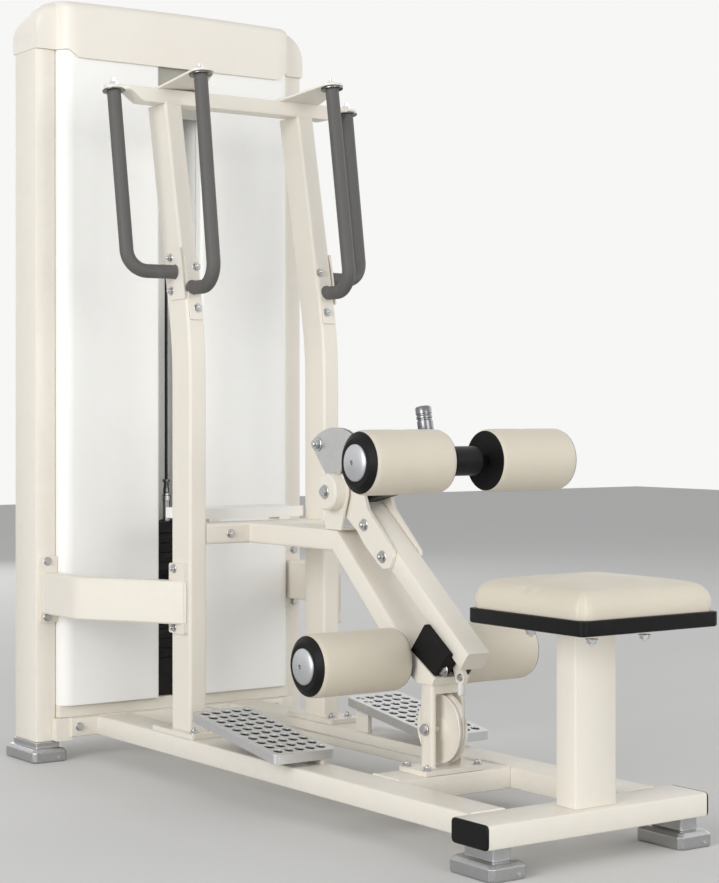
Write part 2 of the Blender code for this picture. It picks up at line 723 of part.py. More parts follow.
def pulley_cheeks(start, end, axle_z):
    """Two cheeks across X and the axle between them, for a tower pulley."""
    inner = PULLEY_THICKNESS / 2 + 0.0025
    outer = inner + CHEEK
    centre = pulley_y()
    cheeks = []
    for _, sign in SIDES:
        low, high = sorted((sign * inner, sign * outer))
        cheeks.append(block((low, centre - 0.016, start), (high, centre + 0.016, end)))
    cheeks.append(rod("X", PULLEY_AXLE, -outer - 0.003, outer + 0.003, (0.0, centre, axle_z)))
    return cheeks


def make_bottom_beam(half_width):
    """Beam under the stack, slotted for the cable, with the cheeks of the base pulley."""
    slot_back = pulley_y() + PULLEY_RADIUS + 0.0005
    outline = [(-half_width, TOWER_BEAM_FRONT), (-TOWER_SLOT_HALF, TOWER_BEAM_FRONT),
               (-TOWER_SLOT_HALF, slot_back), (TOWER_SLOT_HALF, slot_back),
               (TOWER_SLOT_HALF, TOWER_BEAM_FRONT), (half_width, TOWER_BEAM_FRONT),
               (half_width, COLUMN_BACK), (-half_width, COLUMN_BACK)]
    beam = place("tower_bottom_beam",
                 prism("Z", outline, bottom_beam_bottom(), bottom_beam_top()), CREAM)
    axle_z = base_pulley_z()
    for solid in pulley_cheeks(bottom_beam_top() - 0.028, axle_z + 0.014, axle_z):
        combine(beam, solid, "UNION")


def make_top_beam(half_width):
    """Beam that holds the columns and guide rods at the top, with the cheeks of the top pulley."""
    beam = place("tower_top_beam",
                 block((-half_width, TOP_BEAM_FRONT, TOP_BEAM_BOTTOM),
                       (half_width, TOP_BEAM_FRONT + TOP_BEAM_DEPTH, TOP_BEAM_TOP),
                       TUBE_CORNER, "X"), CREAM)
    for solid in pulley_cheeks(TOP_PULLEY_Z - 0.014, TOP_BEAM_BOTTOM + 0.008, TOP_PULLEY_Z):
        combine(beam, solid, "UNION")


def sheet_outline(points, thickness):
    """A closed outline of a bent sheet, from the points of its outer face."""
    points = [Vector(point) for point in points]
    inner = []
    for index, point in enumerate(points):
        back = (point - points[max(index - 1, 0)]).normalized()
        ahead = (points[min(index + 1, len(points) - 1)] - point).normalized()
        tangent = (back + ahead).normalized()
        widen = 1.0
        if 0 < index < len(points) - 1:
            widen = 1.0 / cos(back.angle(ahead) / 2)
        inner.append(point + Vector((-tangent.y, tangent.x)) * thickness * widen)
    return [tuple(point) for point in points + inner[::-1]]


def make_guards(outer):
    """Bent sheet guards left and right of the slot in front of the stack."""
    corner = 0.010
    sweep = COLUMN_FRONT - GUARD_FRONT
    face = [(GUARD_INNER, GUARD_FRONT + GUARD_RETURN)]
    for step in range(3):
        angle = pi / 2 * step / 2
        face.append((GUARD_INNER + corner - corner * cos(angle),
                     GUARD_FRONT + corner - corner * sin(angle)))
    for step in range(6):
        angle = pi / 2 * step / 5
        face.append((outer - (outer - GUARD_OUTER) * (1 - sin(angle)),
                     GUARD_FRONT + sweep * (1 - cos(angle))))
    face.append((outer, COLUMN_FRONT + GUARD_TUCK))
    outline = sheet_outline(face, GUARD_SHEET)
    bottom = bottom_beam_top() + SEAT_GAP
    for side, sign in SIDES:
        place(f"guard_{side}", prism("Z", mirror_x(outline, sign), bottom, COLUMN_TOP - GUARD_HEADROOM),
              "white_sheet", smooth=radians(40))


def make_back_cover(half_width):
    """Flat cover on the back of the columns, with a lip that turns in between them."""
    face = COVER_BACK - COVER_THICKNESS
    lip_front = COLUMN_BACK - COVER_LIP
    lip_inner = half_width - COVER_THICKNESS
    edge = COLUMN_OUTER - 0.004
    outline = rounded([(-edge, face), (-half_width, face), (-half_width, lip_front),
                       (-lip_inner, lip_front), (-lip_inner, face), (lip_inner, face),
                       (lip_inner, lip_front), (half_width, lip_front), (half_width, face),
                       (edge, face), (edge, COVER_BACK), (-edge, COVER_BACK)],
                      [0] * 10 + [0.004, 0.004])
    bottom = bottom_beam_top() + SEAT_GAP
    place("back_cover", prism("Z", outline, bottom, COLUMN_TOP - 0.004), "white_sheet")


def cap_front(x):
    """Front of the cap at x: straight over the guards, then back with them to the columns."""
    column_face = COLUMN_FRONT - CAP_OVERHANG
    beyond = (abs(x) - GUARD_OUTER) / (COLUMN_INNER - SEAT_GAP - GUARD_OUTER)
    if beyond >= 1:
        return column_face
    sweep = (COLUMN_FRONT - GUARD_FRONT) * (1 - sqrt(1 - max(beyond, 0.0) ** 2))
    return min(CAP_APRON_FRONT + sweep, column_face)


def cap_profile(x):
    """The (y, z) outline of the moulded cap where it is cut at x."""
    half = COLUMN_OUTER + CAP_OVERHANG
    seat = COLUMN_TOP + SEAT_GAP
    back = COVER_BACK - CAP_OVERHANG
    inside = max(abs(x) - (half - CAP_SHOULDER), 0.0) / CAP_SHOULDER
    drop = CAP_SHOULDER_DROP * (1 - sqrt(max(1 - inside ** 2, 0.0)))
    crown = CAP_CROWN - drop - 0.006 * (x / half) ** 2
    back_edge = CAP_BACK_EDGE - drop * CAP_BACK_FALL
    front = cap_front(x)
    wall = front + CAP_APRON_WALL
    rise = min(max((abs(x) - CAP_APRON_HALF) / CAP_APRON_RAMP, 0.0), 1.0)
    lip = CAP_APRON_BOTTOM + (seat - CAP_APRON_BOTTOM) * rise
    depth = back - front
    return [(back, seat), (wall, seat), (wall, lip), (front, lip),
            (front - 0.003 * (1 - rise), (seat + crown) / 2), (front + 0.004, crown - 0.022),
            (front + 0.014, crown - 0.007), (front + 0.034, crown),
            (front + depth * 0.60, crown - 0.006), (back - 0.030, back_edge + 0.012),
            (back - 0.010, back_edge + 0.004), (back, back_edge - 0.010)]


def make_cap():
    """Moulded cap: rounded shoulders, a crowned top and an apron that bulges over the guards."""
    half = COLUMN_OUTER + CAP_OVERHANG
    stations = [half, half - 0.002, half - 0.009, half - 0.021, half - 0.040,
                COLUMN_INNER + 0.0005, COLUMN_INNER - 0.003, half - CAP_SHOULDER,
                CAP_APRON_HALF + CAP_APRON_RAMP, GUARD_OUTER + 0.006, CAP_APRON_HALF]
    stations = [-x for x in stations] + [0.0] + stations[::-1]
    rings = []
    for x in stations:
        rings.append([Vector((x, y, z)) for y, z in cap_profile(x)])
    place("top_cap", loft(rings), "cap_shell", smooth=radians(35))


def stack_rings(bottom, count, top):
    """Rings of a pile of plates with a groove between neighbours, from bottom to top."""
    centre = (0.0, STACK_FRONT + STACK_DEPTH / 2)
    width = 2 * STACK_HALF_WIDTH
    shrink = 2 * PLATE_GROOVE_DEPTH
    rings = []
    for index in range(count):
        low = bottom + index * PLATE
        high = low + PLATE - PLATE_GROOVE
        rings.append(chamfered_ring(centre, width, STACK_DEPTH, low, 0.004))
        rings.append(chamfered_ring(centre, width, STACK_DEPTH, high, 0.004))
        rings.append(chamfered_ring(centre, width - shrink, STACK_DEPTH - shrink, high, 0.004))
        rings.append(chamfered_ring(centre, width - shrink, STACK_DEPTH - shrink, low + PLATE, 0.004))
    if top:
        rings.append(chamfered_ring(centre, width, STACK_DEPTH, bottom + count * PLATE, 0.004))
        rings.append(chamfered_ring(centre, width, STACK_DEPTH, top, 0.004))
    return rings


def stack_floor():
    """Underside of the lowest plate."""
    return STACK_TOP - TOP_PLATE - (LOWER_PLATES + RAISED_PLATES) * PLATE


def stack_split():
    """Underside of the lowest plate that rises with the top plate."""
    return stack_floor() + LOWER_PLATES * PLATE


def cut_stack(pile, bottom, count, low, high):
    """Guide-rod bores and selector-pin holes of a pile of plates."""
    centre_y = STACK_FRONT + STACK_DEPTH / 2
    for _, sign in SIDES:
        bore = rod("Z", GUIDE_ROD_RADIUS + RUNNING_GAP, low - 0.01, high + 0.01,
                   (sign * GUIDE_ROD_X, centre_y, 0.0))
        combine(pile, bore, "DIFFERENCE")
    holes = bmesh.new()
    for index in range(count):
        middle = bottom + index * PLATE + (PLATE - PLATE_GROOVE) / 2
        hole = rod("Y", PIN_HOLE_RADIUS, STACK_FRONT - 0.01, STACK_FRONT + PIN_HOLE_DEPTH,
                   (0.0, 0.0, middle), 8)
        data = bpy.data.meshes.new("pin_hole")
        hole.to_mesh(data)
        hole.free()
        holes.from_mesh(data)
        bpy.data.meshes.remove(data)
    combine(pile, holes, "DIFFERENCE")


def make_lower_stack():
    """Riser block on the bottom beam with the plates that stay down."""
    riser_bottom = bottom_beam_top() + SEAT_GAP
    centre = (0.0, STACK_FRONT + STACK_DEPTH / 2)
    riser = chamfered_ring(centre, 2 * STACK_HALF_WIDTH, STACK_DEPTH, riser_bottom, 0.004)
    rings = [riser] + stack_rings(stack_floor(), LOWER_PLATES, None)[:-1]
    top = stack_split() - SEAT_GAP
    rings.append([Vector((point.x, point.y, top)) for point in rings[-1]])
    pile = place("lower_stack", loft(rings), "black_paint")
    slot_top = base_pulley_z() + PULLEY_RADIUS + 0.002
    slot = block((-RISER_SLOT_HALF, STACK_FRONT + RISER_SLOT_STEP, riser_bottom - 0.01),
                 (RISER_SLOT_HALF, STACK_FRONT + STACK_DEPTH + 0.01, slot_top))
    combine(pile, slot, "DIFFERENCE")
    cut_stack(pile, stack_floor(), LOWER_PLATES, riser_bottom, top)


def make_guide_rods():
    """Polished rods that guide the plates, from the bottom beam to the top beam."""
    centre_y = STACK_FRONT + STACK_DEPTH / 2
    for side, sign in SIDES:
        guide = rod("Z", GUIDE_ROD_RADIUS, bottom_beam_top() + SEAT_GAP, TOP_BEAM_BOTTOM - SEAT_GAP,
                    (sign * GUIDE_ROD_X, centre_y, 0.0))
        place(f"guide_rod_{side}", guide, "polished_steel", smooth=radians(40))


def make_raised_stack(parent):
    """Top plate with its stem, and the selected plates that rise with it."""
    centre_y = STACK_FRONT + STACK_DEPTH / 2
    pivot = (0.0, centre_y, stack_split())
    rings = stack_rings(stack_split(), RAISED_PLATES, STACK_TOP)
    pile = place("raised_stack", loft(rings), "black_paint", pivot, parent)
    stem = turned([(0.0, STACK_TOP - 0.005), (STEM_RADIUS, STACK_TOP - 0.005), (STEM_RADIUS, 0.664),
                   (STEM_RADIUS * 1.25, 0.668), (STEM_RADIUS * 1.25, 0.678), (0.006, 0.682),
                   (0.006, STEM_TOP), (0.0, STEM_TOP)], "Z", (0.0, centre_y, 0.0), 12)
    combine(pile, stem, "UNION")
    cut_stack(pile, stack_split(), RAISED_PLATES, stack_split(), STACK_TOP)
    make_selector_pin(parent)


def make_selector_pin(parent):
    """Pin with a knob, in the lowest plate that rises."""
    middle = stack_split() + (PLATE - PLATE_GROOVE) / 2
    face = STACK_FRONT - SEAT_GAP
    tip = STACK_FRONT + PIN_HOLE_DEPTH - 0.002
    radius = PIN_HOLE_RADIUS - 0.0009
    knob = PIN_KNOB_RADIUS
    profile = [(0.0, tip), (radius * 0.6, tip), (radius, tip - 0.003), (radius, face),
               (knob * 0.6, face), (knob * 0.6, face - 0.008), (knob, face - 0.012),
               (knob, face - PIN_KNOB_LENGTH + 0.004), (knob * 0.8, face - PIN_KNOB_LENGTH),
               (0.0, face - PIN_KNOB_LENGTH)]
    pin = turned(profile, "Y", (0.0, 0.0, middle), 12)
    place("selector_pin", pin, "black_plastic", (0.0, face, middle), parent, radians(40))


def make_pulley(name, radius, thickness, centre, material, steps=28):
    """Grooved pulley with a bore for its axle."""
    half = thickness / 2
    bore = PULLEY_AXLE + RUNNING_GAP
    web = half * 0.75
    profile = [(bore, -half), (radius * 0.36, -half), (radius * 0.40, -web),
               (radius * 0.92, -web), (radius, -half),
               (radius - PULLEY_GROOVE, -CABLE_RADIUS - 0.0005),
               (radius - PULLEY_GROOVE, CABLE_RADIUS + 0.0005), (radius, half),
               (radius * 0.92, web), (radius * 0.40, web), (radius * 0.36, half), (bore, half)]
    wheel = turned(profile, "X", centre, steps)
    place(name, wheel, material, centre, smooth=radians(35))


def make_pulleys():
    """The post pulley and the two pulleys of the tower."""
    make_pulley("post_pulley", POST_PULLEY_RADIUS, POST_PULLEY_THICKNESS,
                (0.0, (POST_FRONT + POST_BACK) / 2, POST_PULLEY_Z), CREAM, 22)
    make_pulley("base_pulley", PULLEY_RADIUS, PULLEY_THICKNESS,
                (0.0, pulley_y(), base_pulley_z()), "black_plastic", 16)
    make_pulley("top_pulley", PULLEY_RADIUS, PULLEY_THICKNESS,
                (0.0, pulley_y(), TOP_PULLEY_Z), "black_plastic", 16)


def arc_points(centre, radius, start, end, steps):
    """Points of an arc in the plane X = 0, by angles from +Y towards +Z."""
    points = []
    for step in range(steps + 1):
        angle = start + (end - start) * step / steps
        points.append(Vector((0.0, centre[0] + radius * cos(angle), centre[1] + radius * sin(angle))))
    return points


def make_cables():
    """The main cable from the lever lug round its pulleys, and the drop to the stem."""
    post_centre = ((POST_FRONT + POST_BACK) / 2, POST_PULLEY_Z)
    post_lay = cable_lay(POST_PULLEY_RADIUS)
    tower_lay = cable_lay(PULLEY_RADIUS)
    base_centre = (pulley_y(), base_pulley_z())
    top_centre = (pulley_y(), TOP_PULLEY_Z)
    path = [Vector((0.0, post_centre[0] - post_lay, LUG_Z - 0.050))]
    path += arc_points(post_centre, post_lay, pi, 1.5 * pi, 8)
    path += arc_points(base_centre, tower_lay, -0.5 * pi, 0.0, 6)
    path += arc_points(top_centre, tower_lay, 0.0, pi, 12)
    drop_top = TOP_PULLEY_Z - 0.010
    path.append(Vector((0.0, top_centre[0] - tower_lay, drop_top)))
    place("main_cable", round_bar(path, [CABLE_RADIUS] * len(path), 8), "cable_jacket",
          smooth=radians(50))
    stem_y = STACK_FRONT + STACK_DEPTH / 2
    drop = rod("Z", CABLE_RADIUS, STEM_TOP + SEAT_GAP, drop_top - SEAT_GAP,
               (0.0, stem_y, 0.0), 8)
    place("cable_drop", drop, "cable_jacket", (0.0, stem_y, drop_top - SEAT_GAP))


def make_post():
    """Post with the window for its pulley, on a base plate bolted to the post crossbar."""
    bottom = BASE_TOP + SEAT_GAP
    base_top = bottom + POST_BASE_THICKNESS
    post = place("cable_post",
                 block((-POST_HALF_WIDTH, POST_FRONT, base_top - 0.003),
                       (POST_HALF_WIDTH, POST_BACK, POST_TOP), TUBE_CORNER, "Z"), CREAM)
    base = block((-POST_BASE_HALF, POST_FRONT - POST_BASE_MARGIN + 0.002, bottom),
                 (POST_BASE_HALF, POST_BACK + POST_BASE_MARGIN, base_top), 0.010, "Z")
    combine(post, base, "UNION")
    window = block((-POST_WINDOW_HALF, POST_FRONT - 0.01, base_top),
                   (POST_WINDOW_HALF, POST_BACK + 0.01, POST_WINDOW_TOP), 0.004, "Y")
    combine(post, window, "DIFFERENCE")
    axle = rod("X", PULLEY_AXLE, -POST_HALF_WIDTH - 0.004, POST_HALF_WIDTH + 0.004,
               (0.0, (POST_FRONT + POST_BACK) / 2, POST_PULLEY_Z))
    combine(post, axle, "UNION")


def lean_y(z):
    """How far an upright has leaned back at a height."""
    return max(z - UPRIGHT_KINK, 0.0) * tan(UPRIGHT_LEAN)


def make_uprights():
    """Two bent uprights on base plates."""
    section = rectangle((-UPRIGHT_DEPTH / 2, -UPRIGHT_WIDTH / 2),
                        (UPRIGHT_DEPTH / 2, UPRIGHT_WIDTH / 2), TUBE_CORNER)
    middle_y = UPRIGHT_FRONT + UPRIGHT_DEPTH / 2
    base_bottom = BASE_TOP + SEAT_GAP
    base_top = base_bottom + UPRIGHT_BASE_THICKNESS
    centre = UPRIGHT_INNER + UPRIGHT_WIDTH / 2
    for side, sign in SIDES:
        x = sign * centre
        beyond = UPRIGHT_TOP + 0.03
        path = filleted([(x, middle_y, base_top - 0.004), (x, middle_y, UPRIGHT_KINK),
                         (x, middle_y + lean_y(beyond), beyond)], UPRIGHT_BEND, 3)
        upright = place(f"upright_{side}", bent_bar(path, section, (1.0, 0.0, 0.0)), CREAM)
        trim = block((x - 0.05, middle_y, UPRIGHT_TOP), (x + 0.05, middle_y + 0.3, UPRIGHT_TOP + 0.1))
        combine(upright, trim, "DIFFERENCE")
        low, high = sorted((sign * (RAIL_INNER + 0.004), sign * (RAIL_INNER + RAIL_WIDTH - 0.004)))
        base = block((low, UPRIGHT_FRONT - UPRIGHT_BASE_MARGIN, base_bottom),
                     (high, UPRIGHT_FRONT + UPRIGHT_DEPTH + UPRIGHT_BASE_MARGIN, base_top), 0.008, "Z")
        combine(upright, base, "UNION")


def make_top_crossbar():
    """Crossbar over the uprights with rounded ends and the two sloping handle plates."""
    rise = TOP_BAR_TOP - TOP_BAR_BOTTOM - TOP_BAR_END
    full_half = TOP_BAR_HALF - TOP_BAR_FLAT - TOP_BAR_SWEEP
    half_outline = []
    for step in range(7):
        share = step / 6
        half_outline.append((full_half + TOP_BAR_SWEEP * share,
                             TOP_BAR_BOTTOM + rise * (1 - cos(pi * share)) / 2))
    half_outline += [(TOP_BAR_HALF, TOP_BAR_TOP - TOP_BAR_END), (TOP_BAR_HALF, TOP_BAR_TOP)]
    outline = half_outline + [(-x, z) for x, z in half_outline[::-1]]
    back = TOP_BAR_FRONT + TOP_BAR_DEPTH
    bar = place("top_crossbar", prism("Y", outline, TOP_BAR_FRONT, back), CREAM)
    tip_x = INNER_HANDLE_TOP[0]
    for _, sign in SIDES:
        corners = rounded([(HANDLE_PLATE_INNER, TOP_BAR_FRONT + 0.040),
                           (HANDLE_PLATE_OUTER, TOP_BAR_FRONT + 0.040),
                           (HANDLE_PLATE_OUTER, TOP_BAR_FRONT),
                           (tip_x + 0.028, HANDLE_PLATE_FRONT), (tip_x - 0.028, HANDLE_PLATE_FRONT),
                           (HANDLE_PLATE_INNER, TOP_BAR_FRONT)],
                          [0, 0, 0.02, 0.018, 0.018, 0.02])
        rings = [[Vector((sign * x, y, plate_underside(y) + lift)) for x, y in corners]
                 for lift in (0.0, HANDLE_PLATE)]
        combine(bar, loft(rings), "UNION")


def plate_underside(y):
    """Height of the underside of a handle plate: flat on the crossbar, then rising to the front."""
    return TOP_BAR_TOP - 0.002 + max(TOP_BAR_FRONT - y, 0.0) * handle_plate_slope()


def handle_plate_slope():
    """Rise of a handle plate for each metre towards the front."""
    rise = INNER_HANDLE_TOP[2] + SEAT_GAP - (TOP_BAR_TOP - 0.002)
    return rise / (TOP_BAR_FRONT - INNER_HANDLE_TOP[1])


def make_handles():
    """Two J-shaped grips on each side, each with a flange at the top."""
    upright_middle = UPRIGHT_FRONT + UPRIGHT_DEPTH / 2 + lean_y(INNER_HANDLE_LOW[2])
    inner_end = (INNER_HANDLE_LOW[0],
                 upright_middle - (UPRIGHT_DEPTH / 2 + SEAT_GAP) / cos(UPRIGHT_LEAN),
                 INNER_HANDLE_LOW[2])
    outer_end = (UPRIGHT_INNER + UPRIGHT_WIDTH + SEAT_GAP, OUTER_HANDLE_END_Y, OUTER_HANDLE_LOW[2])
    for side, sign in SIDES:
        outer = [(sign * x, y, z) for x, y, z in (OUTER_HANDLE_TOP, OUTER_HANDLE_LOW, outer_end)]
        inner = [(sign * x, y, z) for x, y, z in (INNER_HANDLE_TOP, INNER_HANDLE_LOW, inner_end)]
        make_handle(f"handle_outer_{side}", outer, (0.0, 0.0, -1.0), (-sign, 0.0, 0.0))
        make_handle(f"handle_inner_{side}", inner, (0.0, -handle_plate_slope(), -1.0),
                    (0.0, cos(UPRIGHT_LEAN), -sin(UPRIGHT_LEAN)))


def make_handle(name, points, top_normal, end_normal):
    """One grip: flange at the top, then the bar round its bend to the face of the upright."""
    top = Vector(points[0])
    top_normal = Vector(top_normal).normalized()
    down = (Vector(points[1]) - top).normalized()
    bar = filleted(points, HANDLE_BEND)
    path = [top, top + top_normal * HANDLE_FLANGE, top + down * (HANDLE_FLANGE + 0.004)] + bar[1:]
    radii = [HANDLE_FLANGE_RADIUS] * 2 + [HANDLE_RADIUS] * len(bar)
    normals = {0: top_normal, 1: top_normal, len(path) - 1: Vector(end_normal)}
    place(name, round_bar(path, radii, 12, normals), "grey_coat", smooth=radians(40))


def make_braces():
    """Bent flat bars from the uprights to the columns, with a bolting plate at each end."""
    outer_face = UPRIGHT_INNER + UPRIGHT_WIDTH + SEAT_GAP
    plate_face = outer_face + BRACE_UPRIGHT_PLATE
    column_face = COLUMN_FRONT - SEAT_GAP
    height = BRACE_TOP - BRACE_BOTTOM
    middle = (BRACE_TOP + BRACE_BOTTOM) / 2
    section = rectangle((-BRACE_THICKNESS / 2, -height / 2), (BRACE_THICKNESS / 2, height / 2),
                        0.004, 1)
    for side, sign in SIDES:
        run = ((BRACE_BEND[1] - BRACE_START_Y) / (BRACE_BEND[0] - plate_face))
        points = [(plate_face - 0.030, BRACE_START_Y - 0.030 * run), BRACE_BEND,
                  (BRACE_BEND[0], column_face - BRACE_COLUMN_PLATE / 2)]
        path = filleted([(sign * x, y, middle) for x, y in points], BRACE_BEND_RADIUS, 4)
        brace = place(f"brace_{side}", bent_bar(path, section, (0.0, 0.0, 1.0)), CREAM)
        low, high = sorted((sign * (outer_face - 0.10), sign * (plate_face - 0.004)))
        trim = block((low, 0.2, BRACE_BOTTOM - 0.02), (high, 0.6, BRACE_TOP + 0.02))
        combine(brace, trim, "DIFFERENCE")
        low, high = sorted((sign * outer_face, sign * plate_face))
        upright_plate = block((low, BRACE_PLATE_FRONT, BRACE_PLATE_BOTTOM),
                              (high, BRACE_PLATE_BACK, BRACE_PLATE_TOP), 0.006, "X")
        inner_edge = COLUMN_INNER + SEAT_GAP
        low, high = sorted((sign * inner_edge, sign * (COLUMN_OUTER - BRACE_COLUMN_PLATE_INSET)))
        column_plate = block((low, column_face - BRACE_COLUMN_PLATE, BRACE_PLATE_BOTTOM),
                             (high, column_face, BRACE_PLATE_TOP), 0.006, "Y")
        combine(brace, upright_plate, "UNION")
        combine(brace, column_plate, "UNION")


def make_spine():
    """Spine tube from the mid crossbar down to the post, with the lower rollers' axle."""
    centre_z = MID_BAR_TOP - SPINE_HEIGHT / 2
    section = rectangle((-SPINE_HEIGHT / 2, -SPINE_HALF_WIDTH), (SPINE_HEIGHT / 2, SPINE_HALF_WIDTH),
                        TUBE_CORNER)
    path = [(0.0, UPRIGHT_FRONT + 0.020, centre_z), (0.0, SPINE_BEND_Y, centre_z),
            (0.0, *SPINE_ELBOW), (0.0, *SPINE_FOOT)]
    spine = place("spine", bent_bar(path, section, (1.0, 0.0, 0.0)), CREAM)
    half = UPRIGHT_INNER - SEAT_GAP
    mid_bar = block((-half, UPRIGHT_FRONT, MID_BAR_TOP - MID_BAR_HEIGHT),
                    (half, UPRIGHT_FRONT + UPRIGHT_DEPTH, MID_BAR_TOP), TUBE_CORNER, "X")
    combine(spine, mid_bar, "UNION")
    post_room = block((-0.08, POST_FRONT - 0.06, POST_TOP - 0.1),
                      (0.08, POST_BACK + 0.03, POST_TOP + SEAT_GAP))
    combine(spine, post_room, "DIFFERENCE")
    reach = LOWER_ROLLER_OUTER - AXLE_SHORTFALL
    axle = rod("X", ROLLER_AXLE_RADIUS, -reach, reach, (0.0, LOWER_AXLE_Y, LOWER_AXLE_Z), 20)
    combine(spine, axle, "UNION")


def make_shelf():
    """Folded tray over the mid crossbar, on two feet."""
    rim = SHELF_SHEET
    shelf = place("shelf",
                  block((-SHELF_HALF_WIDTH, SHELF_FRONT, SHELF_BOTTOM),
                        (SHELF_HALF_WIDTH, SHELF_BACK, SHELF_TOP), 0.012, "Z", 3), "white_sheet")
    hollow = block((-SHELF_HALF_WIDTH + rim, SHELF_FRONT + rim, SHELF_BOTTOM - 0.01),
                   (SHELF_HALF_WIDTH - rim, SHELF_BACK - rim, SHELF_TOP - rim), 0.009, "Z", 3)
    combine(shelf, hollow, "DIFFERENCE")
    for _, sign in SIDES:
        low, high = sorted((sign * 0.090, sign * 0.120))
        lug = block((low, SHELF_FRONT + 0.001, MID_BAR_TOP + SEAT_GAP),
                    (high, UPRIGHT_FRONT + UPRIGHT_DEPTH + 0.04, SHELF_TOP - rim + 0.001))
        combine(shelf, lug, "UNION")


def foot_plate_grid(sign):
    """Perforated sheet: a grid of cells, each an eight-sided oval hole in its rectangle."""
    mesh = bmesh.new()
    length = PLATE_REAR[0] - PLATE_NOSE[0]
    width = PLATE_OUTER - PLATE_INNER
    cell_x = (width - 2 * PLATE_BORDER) / PLATE_COLUMNS
    cell_y = (length - 2 * PLATE_BORDER) / PLATE_ROWS
    half_x = cell_x * PLATE_HOLE_FILL / 2
    half_y = cell_y * PLATE_HOLE_FILL / 2
    layers = []
    for z in (0.0, -PLATE_SHEET):
        lines_x = [0.0] + [PLATE_BORDER + cell_x * i for i in range(PLATE_COLUMNS + 1)] + [width]
        lines_y = [0.0] + [PLATE_BORDER + cell_y * i for i in range(PLATE_ROWS + 1)] + [length]
        grid = [[mesh.verts.new((x, y, z)) for y in lines_y] for x in lines_x]
        rings = {}
        for i in range(len(lines_x) - 1):
            for j in range(len(lines_y) - 1):
                corners = [grid[i][j], grid[i + 1][j], grid[i + 1][j + 1], grid[i][j + 1]]
                inside = 0 < i < len(lines_x) - 2 and 0 < j < len(lines_y) - 2
                if not inside:
                    mesh.faces.new(corners)
                    continue
                middle = ((lines_x[i] + lines_x[i + 1]) / 2, (lines_y[j] + lines_y[j + 1]) / 2)
                ring = []
                for step in range(8):
                    angle = pi / 4 * step + pi * 1.25
                    ring.append(mesh.verts.new((middle[0] + half_x * cos(angle),
                                                middle[1] + half_y * sin(angle), z)))
                for corner in range(4):
                    after = (corner + 1) % 4
                    mesh.faces.new((corners[corner], corners[after], ring[2 * after % 8],
                                    ring[2 * corner + 1], ring[2 * corner]))
                rings[i, j] = ring
        layers.append((grid, rings))
    for key, upper in layers[0][1].items():
        lower = layers[1][1][key]
        for step in range(8):
            after = (step + 1) % 8
            mesh.faces.new((upper[step], upper[after], lower[after], lower[step]))
    upper, lower = layers[0][0], layers[1][0]
    last_x, last_y = len(upper) - 1, len(upper[0]) - 1
    border = [(i, 0) for i in range(last_x)] + [(last_x, j) for j in range(last_y)]
    border += [(i, last_y) for i in range(last_x, 0, -1)] + [(0, j) for j in range(last_y, 0, -1)]
    for (i, j), (k, m) in zip(border, border[1:] + border[:1]):
        mesh.faces.new((upper[i][j], upper[k][m], lower[k][m], lower[i][j]))
    slope = atan2(PLATE_REAR[1] - PLATE_NOSE[1], length)
    origin = Vector((PLATE_INNER, PLATE_NOSE[0], PLATE_NOSE[1]))
    turn = Matrix.Rotation(slope, 3, "X")
    for vert in mesh.verts:
        point = turn @ vert.co + origin
        vert.co = (point.x * sign, point.y, point.z)
    return mesh


def foot_plate_lugs(sign):
    """The two lugs of a rail, with tops that slope as the foot plate does."""
    length = PLATE_REAR[0] - PLATE_NOSE[0]
    drop = (PLATE_REAR[1] - PLATE_NOSE[1]) / length
    under = PLATE_SHEET * sqrt(1 + drop * drop) + SEAT_GAP
    low, high = sorted((sign * (RAIL_INNER + PLATE_LUG_INSET),
                        sign * (RAIL_INNER + PLATE_LUG_INSET + PLATE_LUG_WIDTH)))
    lugs = []
    for start in (PLATE_NOSE[0] + 0.008, PLATE_REAR[0] - 0.008 - PLATE_LUG_LENGTH):
        end = start + PLATE_LUG_LENGTH
        tops = [PLATE_NOSE[1] + (y - PLATE_NOSE[0]) * drop - under for y in (start, end)]
        outline = [(start, BASE_TOP - 0.004), (end, BASE_TOP - 0.004), (end, tops[1]), (start, tops[0])]
        lugs.append(prism("X", outline, low, high))
    return lugs


def make_foot_plates():
    """Foot plates: perforated sheet with a skirt frame, on the lugs of the rails."""
    length = PLATE_REAR[0] - PLATE_NOSE[0]
    drop = (PLATE_REAR[1] - PLATE_NOSE[1]) / length
    wall = 0.004

    def skirt_side(low, high):
        """A long wall of the frame, with its lower edge parallel to the sheet."""
        nose_top = PLATE_NOSE[1] - PLATE_SHEET + 0.001
        rear_top = PLATE_REAR[1] - PLATE_SHEET + 0.001
        outline = [(PLATE_NOSE[0], nose_top - PLATE_SKIRT), (PLATE_REAR[0], rear_top - PLATE_SKIRT),
                   (PLATE_REAR[0], rear_top), (PLATE_NOSE[0], nose_top)]
        return prism("X", outline, low, high)

    for side, sign in SIDES:
        plate = place(f"foot_plate_{side}", foot_plate_grid(sign), "cast_aluminium")
        for inner in (PLATE_INNER + 0.0005, PLATE_OUTER - wall - 0.0005):
            low, high = sorted((sign * inner, sign * (inner + wall)))
            combine(plate, skirt_side(low, high), "UNION")
        for y in (PLATE_NOSE[0] + 0.0005, PLATE_REAR[0] - wall - 0.0005):
            top = PLATE_NOSE[1] + (y - PLATE_NOSE[0]) * drop - PLATE_SHEET + 0.001
            low, high = sorted((sign * (PLATE_INNER + 0.001), sign * (PLATE_OUTER - 0.001)))
            combine(plate, block((low, y, top - PLATE_SKIRT + 0.003), (high, y + wall, top)), "UNION")


